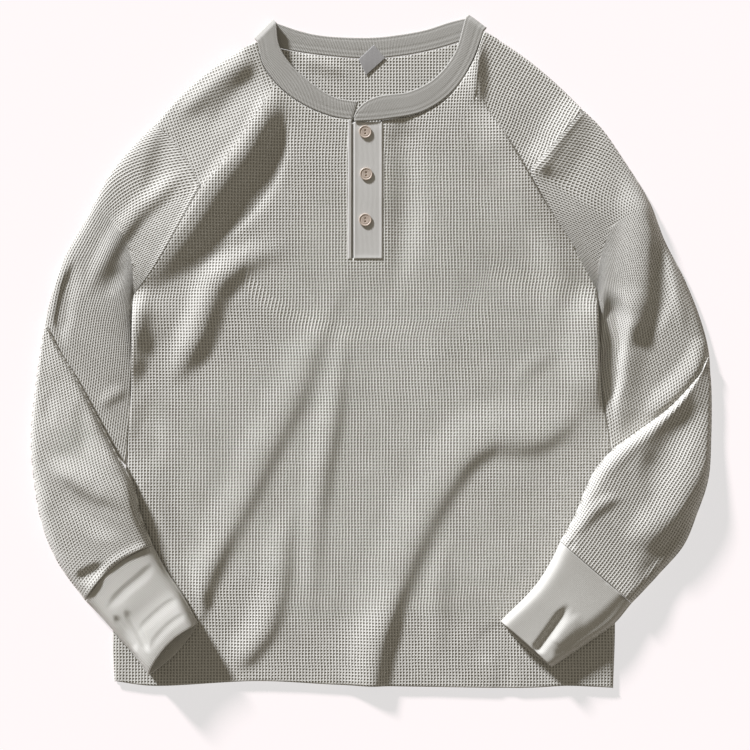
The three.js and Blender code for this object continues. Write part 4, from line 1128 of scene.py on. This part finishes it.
def build_button(name, x, y, bottom):
    radii = np.linspace(DISH_RADIUS, DISH_LEAST, DISH_RINGS)
    dish = [(r, DISH_HEIGHT - DISH_SLOPE * (DISH_RADIUS - r)) for r in radii]
    rings = np.array(BUTTON_PROFILE + dish)
    angle = np.linspace(0, 2 * math.pi, BUTTON_SIDES, endpoint=False)
    px, py = rings[:, :1] * np.cos(angle), rings[:, :1] * np.sin(angle)
    pz = np.broadcast_to(rings[:, 1:], px.shape).copy()
    for side in (-HOLE_PLACE, HOLE_PLACE):
        apart = np.hypot(px, py - side)
        sunk = HOLE_DEPTH * ease((HOLE_RADIUS - apart) / HOLE_SOFT)
        pz -= np.where(rings[:, :1] <= DISH_RADIUS, sunk, 0) * (pz > HOLE_DEPTH)
    points = np.dstack([px + x, py + y, pz + bottom]).reshape(-1, 3)
    faces = loft_faces(len(rings), BUTTON_SIDES, False)
    return piece(name, points, faces, points[:, :2], RESIN, [name.replace("_resin", "")])


button_x, button_y = np.array(BUTTONS, float).T
button_ground = front_at(button_x, button_y, GROUND_SPREAD)[:, 0]
for number, (x, y, ground) in enumerate(zip(button_x, button_y, button_ground), 1):
    build_button(f"button_{number}_resin", x, y, ground + PLACKET_LIFT + BUTTON_LIFT)


# Label

LABEL_SIZE, LABEL_ROUND = 20.0, 0.5
LABEL_HEIGHT, LABEL_CURL = 2.55, 0.35
LABEL_STEPS, LABEL_ENDS = 21, (0.02, 0.98)


def build_label():
    corners = np.array([(*c, 0.0) for c in LABEL])
    share = np.unique(np.r_[np.linspace(0, 1, LABEL_STEPS), LABEL_ENDS])
    u, v = np.meshgrid(share, share)
    near_side = mix(corners[0], corners[1], u[..., None])
    far_side = mix(corners[3], corners[2], u[..., None])
    place = mix(near_side, far_side, v[..., None])
    from_edge = np.minimum.reduce([u, 1 - u, v, 1 - v]) * LABEL_SIZE
    place[..., 2] = LABEL_HEIGHT + LABEL_CURL * np.sin(2.6 * u + 0.6) * v
    half = 0.1 + 0.2 * roll(from_edge, LABEL_ROUND)
    normals = np.broadcast_to(np.array([0.0, 0.0, 1.0]), place.shape)
    loft = strip_loft(place, normals, half, place[..., :2])
    return lofts_piece("neck_label_cloth", [loft], False, LABEL_CLOTH, "neck_label")


label = build_label()


# Floor, light and camera

FLOOR_REACH, FLOOR_SUNK = 6.0, 0.0004
SUN_ELEVATION, SUN_ANGLE, SUN_ENERGY = 16, 6, 7.3
SUN_TRAVEL_X, SUN_TRAVEL_Y = 0.6, -0.8
SKY_STRENGTH = 0.24
LENS, SENSOR, VIEW_WIDTH = 100, 36, 0.7875
VIEW_MIDDLE = np.array([4.2, -24.15, 0.0])


def build_floor():
    material = bpy.data.materials.new("floor_white")
    material.use_nodes = True
    shader = material.node_tree.nodes["Principled BSDF"]
    shader.inputs["Base Color"].default_value = (0.464, 0.363, 0.35, 1)
    shader.inputs["Roughness"].default_value = 0.9
    shader.inputs["Emission Color"].default_value = (0.964, 0.983, 1, 1)
    shader.inputs["Emission Strength"].default_value = 0.646
    mesh = bpy.data.meshes.new("shirt_floor")
    reach = FLOOR_REACH
    corners = [(-reach, -reach, 0), (reach, -reach, 0), (reach, reach, 0), (-reach, reach, 0)]
    mesh.from_pydata(corners, [], [(0, 1, 2, 3)])
    mesh.materials.append(material)
    floor = bpy.data.objects.new("shirt_floor", mesh)
    floor.location.z = -FLOOR_SUNK
    bpy.context.collection.objects.link(floor)


def build_light():
    elevation = math.radians(SUN_ELEVATION)
    level = math.cos(elevation)
    travel = Vector((SUN_TRAVEL_X * level, SUN_TRAVEL_Y * level, -math.sin(elevation)))
    lamp = bpy.data.lights.new("key", "SUN")
    lamp.energy = SUN_ENERGY
    lamp.angle = math.radians(SUN_ANGLE)
    lamp.color = (0.9, 0.925, 1.0)
    key = bpy.data.objects.new("key", lamp)
    key.rotation_euler = travel.to_track_quat("-Z", "Y").to_euler()
    bpy.context.collection.objects.link(key)
    world = bpy.data.worlds.new("studio")
    world.use_nodes = True
    sky = world.node_tree.nodes["Background"]
    sky.inputs["Color"].default_value = (1, 0.92, 0.78, 1)
    sky.inputs["Strength"].default_value = SKY_STRENGTH
    bpy.context.scene.world = world


def build_camera():
    view = bpy.data.cameras.new("camera")
    view.lens = LENS
    view.sensor_width = SENSOR
    camera = bpy.data.objects.new("camera", view)
    over = VIEW_MIDDLE * 0.001 + SHIFT
    camera.location = (over[0], over[1], VIEW_WIDTH * LENS / SENSOR)
    bpy.context.collection.objects.link(camera)
    bpy.context.scene.camera = camera


build_floor()
build_light()
build_camera()
bpy.context.scene.view_settings.view_transform = "Standard"
bpy.context.view_layer.update()
